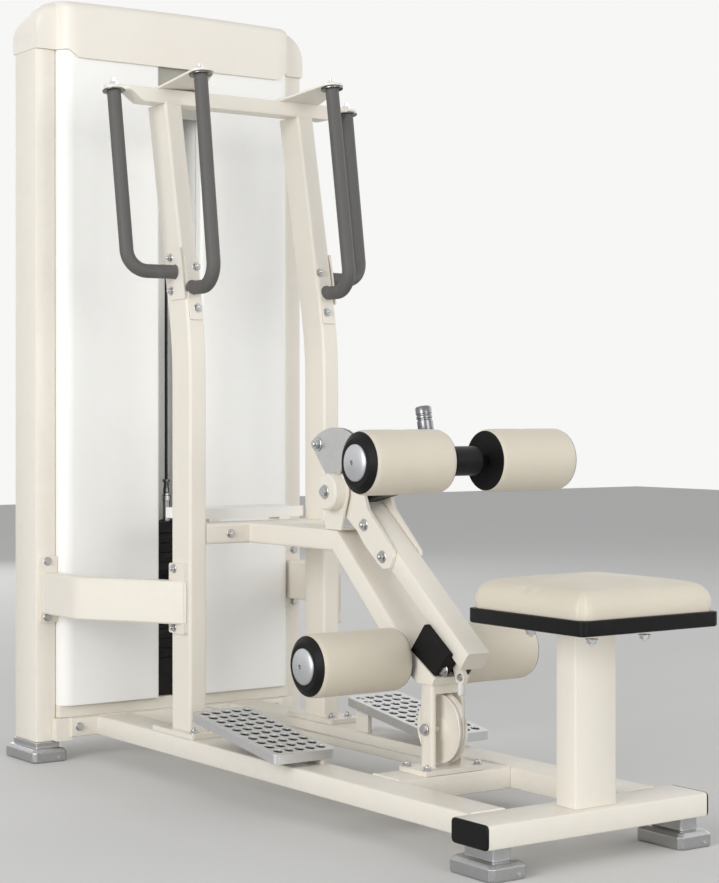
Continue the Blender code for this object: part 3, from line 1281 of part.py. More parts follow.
def seat_ring(inset, z, corner):
    """One level of the seat's rounded outline."""
    outline = rectangle((-SEAT_HALF_WIDTH + inset, SEAT_FRONT + inset),
                        (SEAT_HALF_WIDTH - inset, SEAT_BACK - inset), corner, 4)
    return [Vector((x, y, z)) for x, y in outline]


def make_seat():
    """Seat post, the black rim under the cushion and the crowned cushion."""
    post_top = SEAT_RIM_BOTTOM - SEAT_PLATE_THICKNESS - SEAT_GAP
    front = FRONT_EDGE + SEAT_POST_STEP
    post = place("seat_post",
                 block((-SEAT_POST_HALF_WIDTH, front, BASE_TOP + SEAT_GAP),
                       (SEAT_POST_HALF_WIDTH, front + SEAT_POST_DEPTH, post_top), TUBE_CORNER, "Z"),
                 CREAM)
    middle_y = (SEAT_FRONT + SEAT_BACK) / 2
    plate = block((-0.120, middle_y - 0.110, post_top - 0.002),
                  (0.120, middle_y + 0.110, SEAT_RIM_BOTTOM - SEAT_GAP), 0.012, "Z")
    combine(post, plate, "UNION")
    rim = [seat_ring(0.003, SEAT_RIM_BOTTOM, RIM_CORNER - 0.003),
           seat_ring(0.0, SEAT_RIM_BOTTOM + 0.003, RIM_CORNER),
           seat_ring(0.0, SEAT_RIM_TOP, RIM_CORNER)]
    place("seat_rim", loft(rim), "black_plastic")
    make_cushion()


def make_cushion():
    """Cushion with drawn-in sides, rounded top edges and a crown."""
    bottom = SEAT_RIM_TOP + SEAT_GAP
    rings = [seat_ring(inset, bottom + (CUSHION_EDGE_TOP - bottom) * share, CUSHION_CORNER - inset * 0.9)
             for inset, share in CUSHION_WALL]
    edge_top = rings[-1][0].z
    centre = Vector((0.0, (SEAT_FRONT + SEAT_BACK) / 2, 0.0))
    for share in (0.78, 0.55, 0.30):
        ring = []
        for point in rings[len(CUSHION_WALL) - 1]:
            flat = centre + (Vector((point.x, point.y, 0.0)) - centre) * share
            flat.z = edge_top + (CUSHION_CROWN - edge_top) * (1 - share ** 2)
            ring.append(flat)
        rings.append(ring)
    place("seat_cushion", loft(rings), "upholstery", smooth=radians(50))


def make_pivot():
    """Bracket with its two bearing bosses on the spine, the shaft and the stop quadrant."""
    deck = MID_BAR_TOP + SEAT_GAP
    base_top = deck + BRACKET_BASE
    outer = BRACKET_CHEEK_INNER + BRACKET_CHEEK
    cheek = [(0.056, deck), (0.050, 0.664)]
    for step in range(16):
        angle = radians(-20) + radians(225) * step / 15
        cheek.append((PIVOT_Y + BOSS_RADIUS * cos(angle), PIVOT_Z + BOSS_RADIUS * sin(angle)))
    cheek += [(-0.018, 0.660), (-0.010, deck)]
    bracket = place("pivot_bracket",
                    block((-outer + 0.001, -0.009, deck), (outer - 0.001, 0.055, base_top)), CREAM)
    for _, sign in SIDES:
        low, high = sorted((sign * BRACKET_CHEEK_INNER, sign * outer))
        combine(bracket, prism("X", cheek, low, high), "UNION")
        boss = turned([(0.0, outer - 0.002), (BOSS_RADIUS - 0.003, outer - 0.002),
                       (BOSS_RADIUS - 0.003, BOSS_OUTER - 0.004), (BOSS_RADIUS - 0.007, BOSS_OUTER),
                       (0.0, BOSS_OUTER)], "X", (0.0, 0.0, 0.0), 24)
        bmesh.ops.scale(boss, vec=(sign, 1.0, 1.0), verts=boss.verts)
        bmesh.ops.translate(boss, vec=(0.0, PIVOT_Y, PIVOT_Z), verts=boss.verts)
        combine(bracket, boss, "UNION")
    bore = rod("X", PIVOT_SHAFT_RADIUS + RUNNING_GAP, -0.1, 0.1, (0.0, PIVOT_Y, PIVOT_Z), 20)
    combine(bracket, bore, "DIFFERENCE")
    make_pivot_shaft()
    make_quadrant()


def make_pivot_shaft():
    """Shaft through the bosses and the lever, with a head at each end."""
    head = PIVOT_HEAD_RADIUS
    face = BOSS_OUTER + SEAT_GAP
    profile = [(0.0, -face - 0.008), (head - 0.003, -face - 0.008), (head, -face - 0.005),
               (head, -face), (PIVOT_SHAFT_RADIUS, -face), (PIVOT_SHAFT_RADIUS, face),
               (head, face), (head, face + 0.005), (head - 0.003, face + 0.008),
               (0.0, face + 0.008)]
    shaft = turned(profile, "X", (0.0, PIVOT_Y, PIVOT_Z), 20)
    place("pivot_shaft", shaft, "polished_steel", (0.0, PIVOT_Y, PIVOT_Z), smooth=radians(40))


def quadrant_outline():
    """Ring sector about the pivot: broad arc above, and a narrow foot at the boss."""
    outline = []
    for step in range(9):
        angle = QUADRANT_START + (QUADRANT_END - QUADRANT_START) * step / 8
        outline.append((PIVOT_Y + QUADRANT_RADIUS * cos(angle), PIVOT_Z + QUADRANT_RADIUS * sin(angle)))
    for step in range(5):
        angle = QUADRANT_END + (QUADRANT_START - QUADRANT_END) * step / 4
        outline.append((PIVOT_Y + QUADRANT_FOOT_RADIUS * cos(angle),
                        PIVOT_Z + QUADRANT_FOOT_RADIUS * sin(angle)))
    return outline


def make_quadrant():
    """Stop quadrant: two plates that clasp the rim of the left cheek, joined by two rivet blocks."""
    outline = quadrant_outline()
    outer = -BRACKET_CHEEK_INNER - BRACKET_CHEEK - SEAT_GAP - QUADRANT_PLATE
    inner = -BRACKET_CHEEK_INNER + SEAT_GAP + QUADRANT_PLATE
    quadrant = place("stop_quadrant", prism("X", outline, outer, outer + QUADRANT_PLATE), "bare_steel")
    combine(quadrant, prism("X", outline, inner - QUADRANT_PLATE, inner), "UNION")
    middle = (QUADRANT_START + QUADRANT_END) / 2
    for angle, radius in ((middle - QUADRANT_ARC, 0.115), (middle + QUADRANT_ARC, 0.115), (middle, 0.066)):
        spacer = rod("X", 0.012, outer + 0.001, inner - 0.001,
                     (0.0, PIVOT_Y + radius * cos(angle), PIVOT_Z + radius * sin(angle)), 12)
        combine(quadrant, spacer, "UNION")


def beam_point(along, below):
    """A point of the lever beam: distance up from its lower end, and depth under its top face."""
    direction = Vector((cos(BEAM_ANGLE), sin(BEAM_ANGLE)))
    under = Vector((sin(BEAM_ANGLE), -cos(BEAM_ANGLE)))
    point = Vector(BEAM_TOP_END) + direction * along + under * below
    return point.x, point.y


def make_lever(parent):
    """Inclined beam with its cable lug, and the head plates that carry it on the shaft."""
    section = rectangle((-BEAM_HEIGHT / 2, -BEAM_HALF_WIDTH), (BEAM_HEIGHT / 2, BEAM_HALF_WIDTH),
                        TUBE_CORNER)
    pivot = (0.0, PIVOT_Y, PIVOT_Z)
    start = beam_point(0.0, BEAM_HEIGHT / 2)
    end = beam_point(BEAM_LENGTH, BEAM_HEIGHT / 2)
    beam = place("lever_beam", bent_bar([(0.0, *start), (0.0, *end)], section, (1.0, 0.0, 0.0)),
                 CREAM, pivot, parent)
    lug = rounded([beam_point(0.060, BEAM_HEIGHT - 0.004), (LUG_Y - 0.016, LUG_Z - 0.004),
                   (LUG_Y - 0.012, LUG_Z - 0.018), (LUG_Y + 0.012, LUG_Z - 0.018),
                   beam_point(0.110, BEAM_HEIGHT - 0.004)], 0)
    combine(beam, prism("X", lug, -LUG_HALF, LUG_HALF), "UNION")
    make_head_plates(parent, pivot)


def head_outline():
    """Head plate: a hub round the shaft, and a flank that runs down the side of the beam."""
    outline = []
    for step in range(9):
        angle = radians(-60) + radians(190) * step / 8
        outline.append((PIVOT_Y + HEAD_HUB_RADIUS * cos(angle), PIVOT_Z + HEAD_HUB_RADIUS * sin(angle)))
    return outline + list(HEAD_FLANK)[::-1]


def make_head_plates(parent, pivot):
    """Two head plates with bearing bores, bolted to the sides of the beam."""
    outline = head_outline()
    inner = BEAM_HALF_WIDTH + SEAT_GAP
    for side, sign in SIDES:
        low, high = sorted((sign * inner, sign * (inner + HEAD_PLATE)))
        plate = place(f"head_plate_{side}", prism("X", outline, low, high), CREAM, pivot, parent)
        bore = rod("X", PIVOT_SHAFT_RADIUS + RUNNING_GAP, -0.08, 0.08, pivot, 20)
        combine(plate, bore, "DIFFERENCE")


def arm_frame(along, lift, x=0.0):
    """A point of the roller arm: distance back from the axle, and height over the arm's middle."""
    back = Vector((0.0, cos(ARM_RISE), -sin(ARM_RISE)))
    up = Vector((0.0, sin(ARM_RISE), cos(ARM_RISE)))
    return Vector((x, AXLE_Y, AXLE_Z)) + back * along + up * lift


def make_arm_sleeve(parent):
    """Square sleeve between the head plates, with the barrel of the pull pin."""
    half = SLEEVE_SIDE / 2
    outline = rectangle((-half, -half), (half, half), 0.004)
    path = [arm_frame(SLEEVE_END, 0.0), arm_frame(SLEEVE_START, 0.0)]
    pivot = (0.0, PIVOT_Y, PIVOT_Z)
    sleeve = place("arm_sleeve", bent_bar(path, outline, (1.0, 0.0, 0.0)), "black_paint", pivot, parent)
    hole = half - SLEEVE_WALL
    bore = rectangle((-hole, -hole), (hole, hole), 0.001)
    room = [arm_frame(SLEEVE_END - 0.02, 0.0), arm_frame(ARM_BAR_START + 0.006, 0.0)]
    combine(sleeve, bent_bar(room, bore, (1.0, 0.0, 0.0)), "DIFFERENCE")
    for _, sign in SIDES:
        low, high = sorted((sign * (half - 0.002), sign * BEAM_HALF_WIDTH))
        pad = rectangle((-SLEEVE_PAD_HALF, low), (SLEEVE_PAD_HALF, high))
        span = [arm_frame(along, 0.0) for along in SLEEVE_PAD]
        combine(sleeve, bent_bar(span, pad, (1.0, 0.0, 0.0)), "UNION")
    barrel = round_bar([arm_frame(PIN_STATION, half - 0.002),
                        arm_frame(PIN_STATION, half + PIN_BARREL_HEIGHT)], [PIN_BARREL_RADIUS] * 2, 16)
    combine(sleeve, barrel, "UNION")
    pin_room = round_bar([arm_frame(PIN_STATION, half - SLEEVE_WALL - 0.004),
                          arm_frame(PIN_STATION, half + PIN_BARREL_HEIGHT + 0.01)],
                         [PULL_PIN_RADIUS + RUNNING_GAP] * 2, 12)
    combine(sleeve, pin_room, "DIFFERENCE")


def make_pull_pin(parent):
    """Spring pin with a knurled knob; its tip stands in the sleeve's wall."""
    half = SLEEVE_SIDE / 2
    seat = half + PIN_BARREL_HEIGHT + SEAT_GAP
    knob = PULL_PIN_KNOB_RADIUS
    stations = [(half - SLEEVE_WALL + 0.001, PULL_PIN_RADIUS * 0.7),
                (half - SLEEVE_WALL + 0.003, PULL_PIN_RADIUS), (seat, PULL_PIN_RADIUS),
                (seat + 0.0005, knob * 0.8), (seat + 0.010, knob * 0.8), (seat + 0.014, knob),
                (seat + PULL_PIN_KNOB - 0.005, knob), (seat + PULL_PIN_KNOB, knob * 0.75)]
    path = [arm_frame(PIN_STATION, lift) for lift, _ in stations]
    pivot = arm_frame(PIN_STATION, half)
    place("pull_pin", round_bar(path, [radius for _, radius in stations], 16), "polished_steel",
          pivot, parent, radians(35))


def make_roller_carriage(parent):
    """Square bar that slides in the sleeve, its hub and the axle of the upper rollers."""
    half = SLEEVE_SIDE / 2 - SLEEVE_WALL - RUNNING_GAP
    section = rectangle((-half, -half), (half, half), 0.001)
    pivot = tuple(arm_frame(0.0, 0.0))
    bar = bent_bar([arm_frame(0.0, 0.0), arm_frame(ARM_BAR_START, 0.0)], section, (1.0, 0.0, 0.0))
    carriage = place("roller_carriage", bar, "black_paint", pivot, parent)
    hub = turned([(0.0, -HUB_HALF_WIDTH), (HUB_RADIUS - 0.004, -HUB_HALF_WIDTH),
                  (HUB_RADIUS, 0.004 - HUB_HALF_WIDTH), (HUB_RADIUS, HUB_HALF_WIDTH - 0.004),
                  (HUB_RADIUS - 0.004, HUB_HALF_WIDTH), (0.0, HUB_HALF_WIDTH)],
                 "X", (0.0, AXLE_Y, AXLE_Z), 20)
    combine(carriage, hub, "UNION")
    reach = UPPER_ROLLER_OUTER - AXLE_SHORTFALL
    combine(carriage, rod("X", ROLLER_AXLE_RADIUS, -reach, reach, (0.0, AXLE_Y, AXLE_Z), 20), "UNION")


def make_roller(name, outer, centre, sign, parent=None):
    """Foam roller: blind bore for the axle, end discs, padded barrel and a domed hub."""
    bore = ROLLER_AXLE_RADIUS + RUNNING_GAP
    face = outer - ROLLER_DOME
    end = outer - AXLE_SHORTFALL + 0.002
    shoulder = face - ROLLER_END_RING
    inner = ROLLER_INNER
    foam = ROLLER_RADIUS
    disc = ROLLER_DISC_RADIUS
    dome = ROLLER_DOME_RADIUS
    profile = [(0.0, end), (bore, end), (bore, inner), (disc, inner), (disc, inner + ROLLER_DISC),
               (foam - 0.0025, inner + ROLLER_DISC), (foam, inner + ROLLER_DISC + 0.012),
               (foam, shoulder - 0.012), (foam - 0.0025, shoulder), (disc, shoulder),
               (disc, shoulder + 0.003), (ROLLER_RING_FRONT, face), (dome, face)]
    for step in range(1, 4):
        angle = pi / 2 * step / 4
        profile.append((dome * cos(angle), face + ROLLER_DOME * sin(angle)))
    profile.append((0.0, outer))
    roller = turned([(radius, sign * along) for radius, along in profile], "X",
                    (0.0, centre[1], centre[2]), 20)
    place(name, roller, "upholstery", centre, parent, radians(35))


def make_rest_block():
    """Rubber cradle on the spine: the beam lies in its notch, and a slot clears the cable lug."""
    upper, front = REST_BLOCK_UPPER, REST_BLOCK_FRONT
    outline = [(REST_BLOCK_REAR, spine_top(REST_BLOCK_REAR)), upper, front,
               (REST_BLOCK_TOE, spine_top(REST_BLOCK_TOE))]
    cradle = place("rest_block", prism("X", outline, -REST_BLOCK_HALF, REST_BLOCK_HALF), "black_rubber")
    under = BEAM_HEIGHT + SEAT_GAP
    notch = [beam_point(-0.10, under), beam_point(0.30, under), beam_point(0.30, -0.05),
             beam_point(-0.10, -0.05)]
    half = BEAM_HALF_WIDTH + 2 * SEAT_GAP
    combine(cradle, prism("X", notch, -half, half), "DIFFERENCE")
    slot = block((-LUG_HALF - 0.0015, front[0] - 0.05, 0.2), (LUG_HALF + 0.0015, LUG_Y + 0.057, 0.5))
    combine(cradle, slot, "DIFFERENCE")


def spine_top(y):
    """Height of the spine's upper face at y, on its sloping run."""
    bend = Vector((SPINE_BEND_Y, MID_BAR_TOP - SPINE_HEIGHT / 2))
    elbow = Vector(SPINE_ELBOW)
    foot = Vector(SPINE_FOOT)
    first, second = (elbow, bend) if y > elbow.x else (foot, elbow)
    slope = (second.y - first.y) / (second.x - first.x)
    return first.y + (y - first.x) * slope + SPINE_HEIGHT / 2 * sqrt(1 + slope * slope) + SEAT_GAP


def make_moving_parts():
    """Lever, roller carriage, rollers, pull pin and the rising part of the stack."""
    lever = joint_empty("lever_pivot", (0.0, PIVOT_Y, PIVOT_Z))
    make_lever(lever)
    make_arm_sleeve(lever)
    make_pull_pin(lever)
    make_roller_carriage(lever)
    for side, sign in SIDES:
        make_roller(f"upper_roller_{side}", UPPER_ROLLER_OUTER,
                    (sign * (ROLLER_INNER + UPPER_ROLLER_OUTER) / 2, AXLE_Y, AXLE_Z), sign, lever)
        make_roller(f"lower_roller_{side}", LOWER_ROLLER_OUTER,
                    (sign * (ROLLER_INNER + LOWER_ROLLER_OUTER) / 2, LOWER_AXLE_Y, LOWER_AXLE_Z), sign)
    carrier = joint_empty("stack_carrier", (0.0, STACK_FRONT + STACK_DEPTH / 2, stack_split()))
    make_raised_stack(carrier)


def main():
    """Clear the scene and build the machine."""
    for obj in list(bpy.data.objects):
        bpy.data.objects.remove(obj)
    make_base_frame()
    make_feet()
    make_tower()
    make_cap()
    make_lower_stack()
    make_guide_rods()
    make_post()
    make_uprights()
    make_top_crossbar()
    make_handles()
    make_braces()
    make_spine()
    make_shelf()
    make_foot_plates()
    make_seat()
    make_pivot()
    make_rest_block()
    make_moving_parts()
    make_pulleys()
    make_cables()


main()
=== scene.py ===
"""Visual model of a standing hip thrust machine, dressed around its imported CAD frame.

Metres, +Z up, X = 0 is the plane of symmetry and +Y points from the seat to the weight tower.
Each sub-assembly is a class: its fields are sizes, and its methods work out surfaces with numpy
and give them a finish, a body to ride on and the CAD nodes they stand for.
"""
from __future__ import annotations

import logging
import math
from collections.abc import Iterable, Sequence
from dataclasses import dataclass
from enum import Enum

import bmesh
import bpy
import numpy as np
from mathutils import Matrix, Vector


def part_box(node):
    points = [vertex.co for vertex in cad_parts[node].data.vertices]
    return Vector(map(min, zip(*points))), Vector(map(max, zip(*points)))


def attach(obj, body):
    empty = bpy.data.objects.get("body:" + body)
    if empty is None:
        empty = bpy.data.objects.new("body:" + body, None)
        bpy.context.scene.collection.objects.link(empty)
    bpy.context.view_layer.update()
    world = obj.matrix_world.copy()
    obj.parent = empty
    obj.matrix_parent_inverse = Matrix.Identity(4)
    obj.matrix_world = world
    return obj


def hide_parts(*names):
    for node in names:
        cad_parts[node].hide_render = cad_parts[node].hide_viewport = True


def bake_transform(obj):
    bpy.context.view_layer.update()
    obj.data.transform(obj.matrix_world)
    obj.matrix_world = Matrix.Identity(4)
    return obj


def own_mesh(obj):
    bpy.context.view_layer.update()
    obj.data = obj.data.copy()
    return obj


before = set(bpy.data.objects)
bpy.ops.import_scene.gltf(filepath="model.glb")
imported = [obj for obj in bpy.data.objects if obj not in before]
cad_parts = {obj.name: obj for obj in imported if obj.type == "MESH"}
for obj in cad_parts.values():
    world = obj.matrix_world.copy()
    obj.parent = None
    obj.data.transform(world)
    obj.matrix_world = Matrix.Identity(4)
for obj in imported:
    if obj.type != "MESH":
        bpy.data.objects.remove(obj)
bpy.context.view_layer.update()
LOG = logging.getLogger("hip_thrust_machine")
SIDES = (("left", -1.0), ("right", 1.0))
TURN = 2.0 * math.pi
X_AXIS, Y_AXIS, Z_AXIS = np.eye(3)
GAP = 0.0003
"""Gap between two pieces that touch."""
NEARLY_ALONG = 0.9
"""Cosine from which a direction counts as running along Z."""
MERGE_DISTANCE = 1e-6
"""Points of a made mesh that lie closer than this become one."""
CAD_MERGE_DISTANCE = 2e-5
CAD_FLAT_ANGLE = math.radians(0.6)
"""Faces of a CAD copy that turn by less than this become one."""
CLOTH_PRESSURE = 4.0
CLOTH_FRAMES = 20


class Body(Enum):
    """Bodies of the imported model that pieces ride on."""

    FRAME = "frame"
    LEVER = "lever"
    CARRIAGE = "carriage"
    CARRIAGE_PIN = "carriage_pin"
    UPPER_LEFT = "upper_roller_l"
    UPPER_RIGHT = "upper_roller_r"
    LOWER_LEFT = "lower_roller_l"
    LOWER_RIGHT = "lower_roller_r"
    POST_WHEEL = "post_wheel"
    BASE_WHEEL = "base_wheel"
    TOP_WHEEL = "top_wheel"
    STACK = "rising_stack"
    STACK_PIN = "stack_pin"


class Grain(Enum):
    """Surface patterns, each a shader node group."""

    ORANGE_PEEL = "orange_peel"
    LEATHER = "leather_grain"
    BRUSHED = "brushed_lines"
    CAST = "cast_grain"


def linear(rgb: Sequence[int]) -> tuple[float, float, float, float]:
    """Turn 8-bit display values into a linear colour.

    Args:
        rgb: red, green and blue from 0 to 255.
    Returns:
        Linear red, green, blue and an alpha of 1.
    """
    share = np.asarray(rgb, dtype=float) / 255.0
    value = np.where(share <= 0.04045, share / 12.92, ((share + 0.055) / 1.055) ** 2.4)
    return (*value.tolist(), 1.0)


class Graph:
    """A node tree, wired in short lines."""

    def __init__(self, tree: bpy.types.NodeTree) -> None:
        """Take the tree to wire."""
        self.tree = tree

    def add(self, kind: str, inputs: dict | None = None, **settings: object) -> bpy.types.Node:
        """Add a node.

        Args:
            kind: its type, without the words ShaderNode.
            inputs: a value to set or a socket to link, for each input.
            settings: attributes of the node, set before its inputs.
        Returns:
            The node.
        """
        node = self.tree.nodes.new(f"ShaderNode{kind}")
        for label, value in settings.items():
            setattr(node, label, value)
        return self.wire(node, inputs or {})

    def wire(self, node: bpy.types.Node, inputs: dict) -> bpy.types.Node:
        """Set or link the inputs of a node, and hand the node back."""
        for label, value in inputs.items():
            if isinstance(value, bpy.types.NodeSocket):
                self.tree.links.new(value, node.inputs[label])
            else:
                node.inputs[label].default_value = value
        return node


class NodeGroups:
    """Shader groups shared by the finishes, each built once."""

    def __init__(self) -> None:
        """Start with no group built."""
        self.built: dict[str, bpy.types.NodeTree] = {}

    def start(self, name: str, inputs: dict[str, float], outputs: Sequence[str]) -> tuple:
        """Make an empty group with its sockets.

        Args:
            name: the group's name.
            inputs: value inputs and their defaults.
            outputs: names of the value outputs.
        Returns:
            The group's graph, its input node and its output node.
        """
        tree = bpy.data.node_groups.new(name, "ShaderNodeTree")
        for label, value in inputs.items():
            socket = tree.interface.new_socket(label, in_out="INPUT", socket_type="NodeSocketFloat")
            socket.default_value = value
        for label in outputs:
            tree.interface.new_socket(label, in_out="OUTPUT", socket_type="NodeSocketFloat")
        self.built[name] = tree
        return Graph(tree), tree.nodes.new("NodeGroupInput"), tree.nodes.new("NodeGroupOutput")

    def grain(self, kind: Grain) -> bpy.types.NodeTree:
        """Fetch the group of a surface pattern.

        Args:
            kind: which pattern.
        Returns:
            A group with the outputs Height and Mask.
        """
        if kind.value in self.built:
            return self.built[kind.value]
        graph, entry, leave = self.start(kind.value, {"Scale": 300.0}, ("Height", "Mask"))
        scale = entry.outputs["Scale"]
        place = graph.add("TexCoord").outputs["Object"]
        broad = graph.add("TexNoise", {"Vector": place, "Scale": 9.0, "Detail": 4.0})
        across = place
        if kind is Grain.BRUSHED:
            stretch = graph.add("Mapping", {"Vector": place, "Scale": (0.05, 1.0, 1.0)})
            across = stretch.outputs["Vector"]
        fine = graph.add("TexNoise", {"Vector": across, "Scale": scale, "Detail": 3.0})
        height = fine.outputs["Fac"]
        if kind in (Grain.LEATHER, Grain.CAST):
            feature, reach = ("DISTANCE_TO_EDGE", 0.22) if kind is Grain.LEATHER else ("F1", 0.7)
            cells = graph.add("TexVoronoi", {"Vector": place, "Scale": scale}, feature=feature)
            crease = graph.add("MapRange", {"Value": cells.outputs["Distance"], "From Max": reach})
            blend = graph.add("Math", {0: height, 1: 0.4, 2: crease.outputs["Result"]},
                              operation="MULTIPLY_ADD")
            height = blend.outputs["Value"]
        graph.wire(leave, {"Height": height, "Mask": broad.outputs["Fac"]})
        return graph.tree

    def edge_wear(self) -> bpy.types.NodeTree:
        """Fetch the group that finds worn edges: pointed places, broken up by noise.

        Returns:
            A group with the output Mask.
        """
        name = "edge_wear"
        if name in self.built:
            return self.built[name]
        graph, entry, leave = self.start(name, {"Amount": 0.5}, ("Mask",))
        ridge = graph.add("MapRange", {"Value": graph.add("NewGeometry").outputs["Pointiness"],
                                       "From Min": 0.52, "From Max": 0.62})
        place = graph.add("TexCoord").outputs["Object"]
        noise = graph.add("TexNoise", {"Vector": place, "Scale": 45.0, "Detail": 5.0})
        patch = graph.add("MapRange", {"Value": noise.outputs["Fac"],
                                       "From Min": 0.35, "From Max": 0.70})
        both = graph.add("Math", {0: ridge.outputs["Result"], 1: patch.outputs["Result"]},
                         operation="MULTIPLY")
        scaled = graph.add("Math", {0: both.outputs["Value"], 1: entry.outputs["Amount"]},
                           operation="MULTIPLY", use_clamp=True)
        graph.wire(leave, {"Mask": scaled.outputs["Value"]})
        return graph.tree


GROUPS = NodeGroups()


@dataclass(frozen=True)
class Finish:
    """One finish: its colours, its gloss and the pattern in its surface.

    color and shade are display values; the tone drifts between them over the surface, and
    edge is the colour that shows where an edge is worn.
    """

    name: str
    slot: str
    color: tuple[int, int, int]
    shade: tuple[int, int, int]
    edge: tuple[int, int, int]
    roughness: tuple[float, float]
    grain: Grain
    scale: float
    relief: float
    metallic: float = 0.0
    coat: float = 0.0
    sheen: float = 0.0
    wear: float = 0.5
    specular: float = 0.5

    def material(self) -> bpy.types.Material:
        """Build the material, or fetch it if it is there.

        Returns:
            A Principled material whose colour, roughness and normal come from its pattern.
        """
        existing = bpy.data.materials.get(self.name)
        if existing:
            return existing
        material = bpy.data.materials.new(self.name)
        material.use_nodes = True
        graph = Graph(material.node_tree)
        pattern = graph.add("Group", {"Scale": self.scale}, node_tree=GROUPS.grain(self.grain))
        mask = pattern.outputs["Mask"]
        drift = graph.add("Mix", {"Factor": mask, "A": linear(self.color), "B": linear(self.shade)},
                          data_type="RGBA")
        worn = graph.add("Group", {"Amount": self.wear}, node_tree=GROUPS.edge_wear())
        edge = graph.add("Mix", {"Factor": worn.outputs["Mask"], "A": drift.outputs["Result"],
                                 "B": linear(self.edge)}, data_type="RGBA")
        low, high = self.roughness
        gloss = graph.add("MapRange", {"Value": mask, "From Min": 0.3, "From Max": 0.7,
                                       "To Min": low, "To Max": high})
        bump = graph.add("Bump", {"Strength": self.relief, "Distance": 0.3 / self.scale,
                                  "Height": pattern.outputs["Height"]})
        graph.wire(material.node_tree.nodes["Principled BSDF"], {
            "Base Color": edge.outputs["Result"], "Metallic": self.metallic,
            "Roughness": gloss.outputs["Result"], "Normal": bump.outputs["Normal"],
            "Specular IOR Level": self.specular, "Coat Weight": self.coat,
            "Coat Roughness": 0.18, "Sheen Weight": self.sheen})
        return material


CREAM = Finish("cream_powder_coat", "cream_paint", (236, 230, 219), (231, 225, 213),
               (243, 239, 231), (0.34, 0.46), Grain.ORANGE_PEEL, 520.0, 0.10, coat=0.15)
GUARD_WHITE = Finish("white_coated_sheet", "white_sheet", (248, 248, 245), (244, 244, 241),
                     (250, 250, 248), (0.36, 0.48), Grain.ORANGE_PEEL, 420.0, 0.08, coat=0.1)
CAP_CREAM = Finish("moulded_cap_shell", "cap_shell", (240, 235, 226), (234, 228, 217),
                   (244, 240, 233), (0.38, 0.50), Grain.CAST, 900.0, 0.08)
MOULDED_BLACK = Finish("moulded_black_plastic", "black_plastic", (13, 13, 14), (20, 20, 20),
                       (48, 48, 48), (0.36, 0.52), Grain.CAST, 1100.0, 0.25, specular=0.16)
IRON_BLACK = Finish("black_painted_iron", "stack_iron", (14, 14, 15), (22, 22, 24),
                    (70, 69, 66), (0.34, 0.50), Grain.CAST, 420.0, 0.30, specular=0.2)
FRAME_BLACK = Finish("black_powder_coat", "black_paint", (15, 15, 16), (22, 22, 23),
                     (62, 61, 60), (0.32, 0.44), Grain.ORANGE_PEEL, 520.0, 0.15, specular=0.2)
GRIP_GREY = Finish("grey_textured_coat", "grey_coat", (88, 87, 85), (97, 96, 94),
                   (140, 139, 136), (0.46, 0.60), Grain.CAST, 760.0, 0.25, specular=0.3)
CAST_ALUMINIUM = Finish("cast_aluminium_bead_blasted", "cast_aluminium", (214, 214, 214),
                        (196, 197, 198), (236, 236, 236), (0.26, 0.40), Grain.CAST, 700.0, 0.22,
                        metallic=0.9)
FOOT_ALUMINIUM = Finish("polished_foot_casting", "cast_aluminium", (188, 188, 188),
                        (164, 165, 167), (232, 232, 232), (0.24, 0.38), Grain.CAST, 620.0, 0.22,
                        metallic=0.95, wear=1.0)
ZINC_STEEL = Finish("zinc_plated_steel", "bare_steel", (202, 202, 202), (182, 183, 186),
                    (232, 232, 232), (0.22, 0.36), Grain.BRUSHED, 900.0, 0.12, metallic=1.0)
DARK_STEEL = Finish("black_oxide_steel", "bare_steel", (92, 92, 94), (74, 74, 76),
                    (190, 190, 190), (0.20, 0.34), Grain.BRUSHED, 900.0, 0.12, metallic=1.0,
                    wear=1.0)
PIN_STEEL = Finish("turned_pin_steel", "bare_steel", (136, 136, 138), (112, 112, 115),
                   (214, 214, 214), (0.24, 0.34), Grain.BRUSHED, 900.0, 0.03, metallic=1.0,
                   wear=0.0)
CHROME = Finish("polished_steel", "polished_steel", (204, 204, 206), (186, 187, 190),
                (240, 240, 240), (0.08, 0.18), Grain.BRUSHED, 1200.0, 0.05, metallic=1.0)
SATIN_STEEL = Finish("satin_steel_cover", "polished_steel", (206, 207, 209), (192, 193, 196),
                     (232, 232, 233), (0.30, 0.42), Grain.BRUSHED, 700.0, 0.10, metallic=0.85)
RUBBER = Finish("black_moulded_rubber", "black_rubber", (16, 16, 16), (24, 24, 24),
                (44, 43, 42), (0.62, 0.78), Grain.CAST, 620.0, 0.35, specular=0.2)
VINYL = Finish("beige_grained_vinyl", "upholstery", (219, 211, 194), (212, 204, 186),
               (226, 219, 203), (0.36, 0.50), Grain.LEATHER, 620.0, 0.35, sheen=0.1, wear=0.2)
JACKET = Finish("black_cable_jacket", "cable_jacket", (16, 16, 16), (24, 24, 24),
                (50, 50, 50), (0.34, 0.46), Grain.BRUSHED, 1400.0, 0.2, specular=0.3)
PALE_JACKET = Finish("pale_cable_jacket", "cable_jacket", (206, 202, 193), (192, 188, 178),
                     (222, 219, 211), (0.30, 0.42), Grain.BRUSHED, 1400.0, 0.2)
# Cream paint darkened to grey: painted shade for the plate at the slot's head, in the recess under
# the cap.
SLOT_PAINTED_SHADE = Finish("slot_head_painted_shade", "cream_paint", (172, 170, 160), (160, 158, 148),
                   (190, 188, 178), (0.5, 0.62), Grain.ORANGE_PEEL, 420.0, 0.1)
NYLON = Finish("white_nylon_fitting", "white_sheet", (226, 226, 222), (214, 214, 210),
               (238, 238, 236), (0.34, 0.46), Grain.CAST, 900.0, 0.15)


def linked(name: str, data: bpy.types.ID) -> bpy.types.Object:
    """Make an object of some data and link it to the scene."""
    obj = bpy.data.objects.new(name, data)
    bpy.context.scene.collection.objects.link(obj)
    return obj


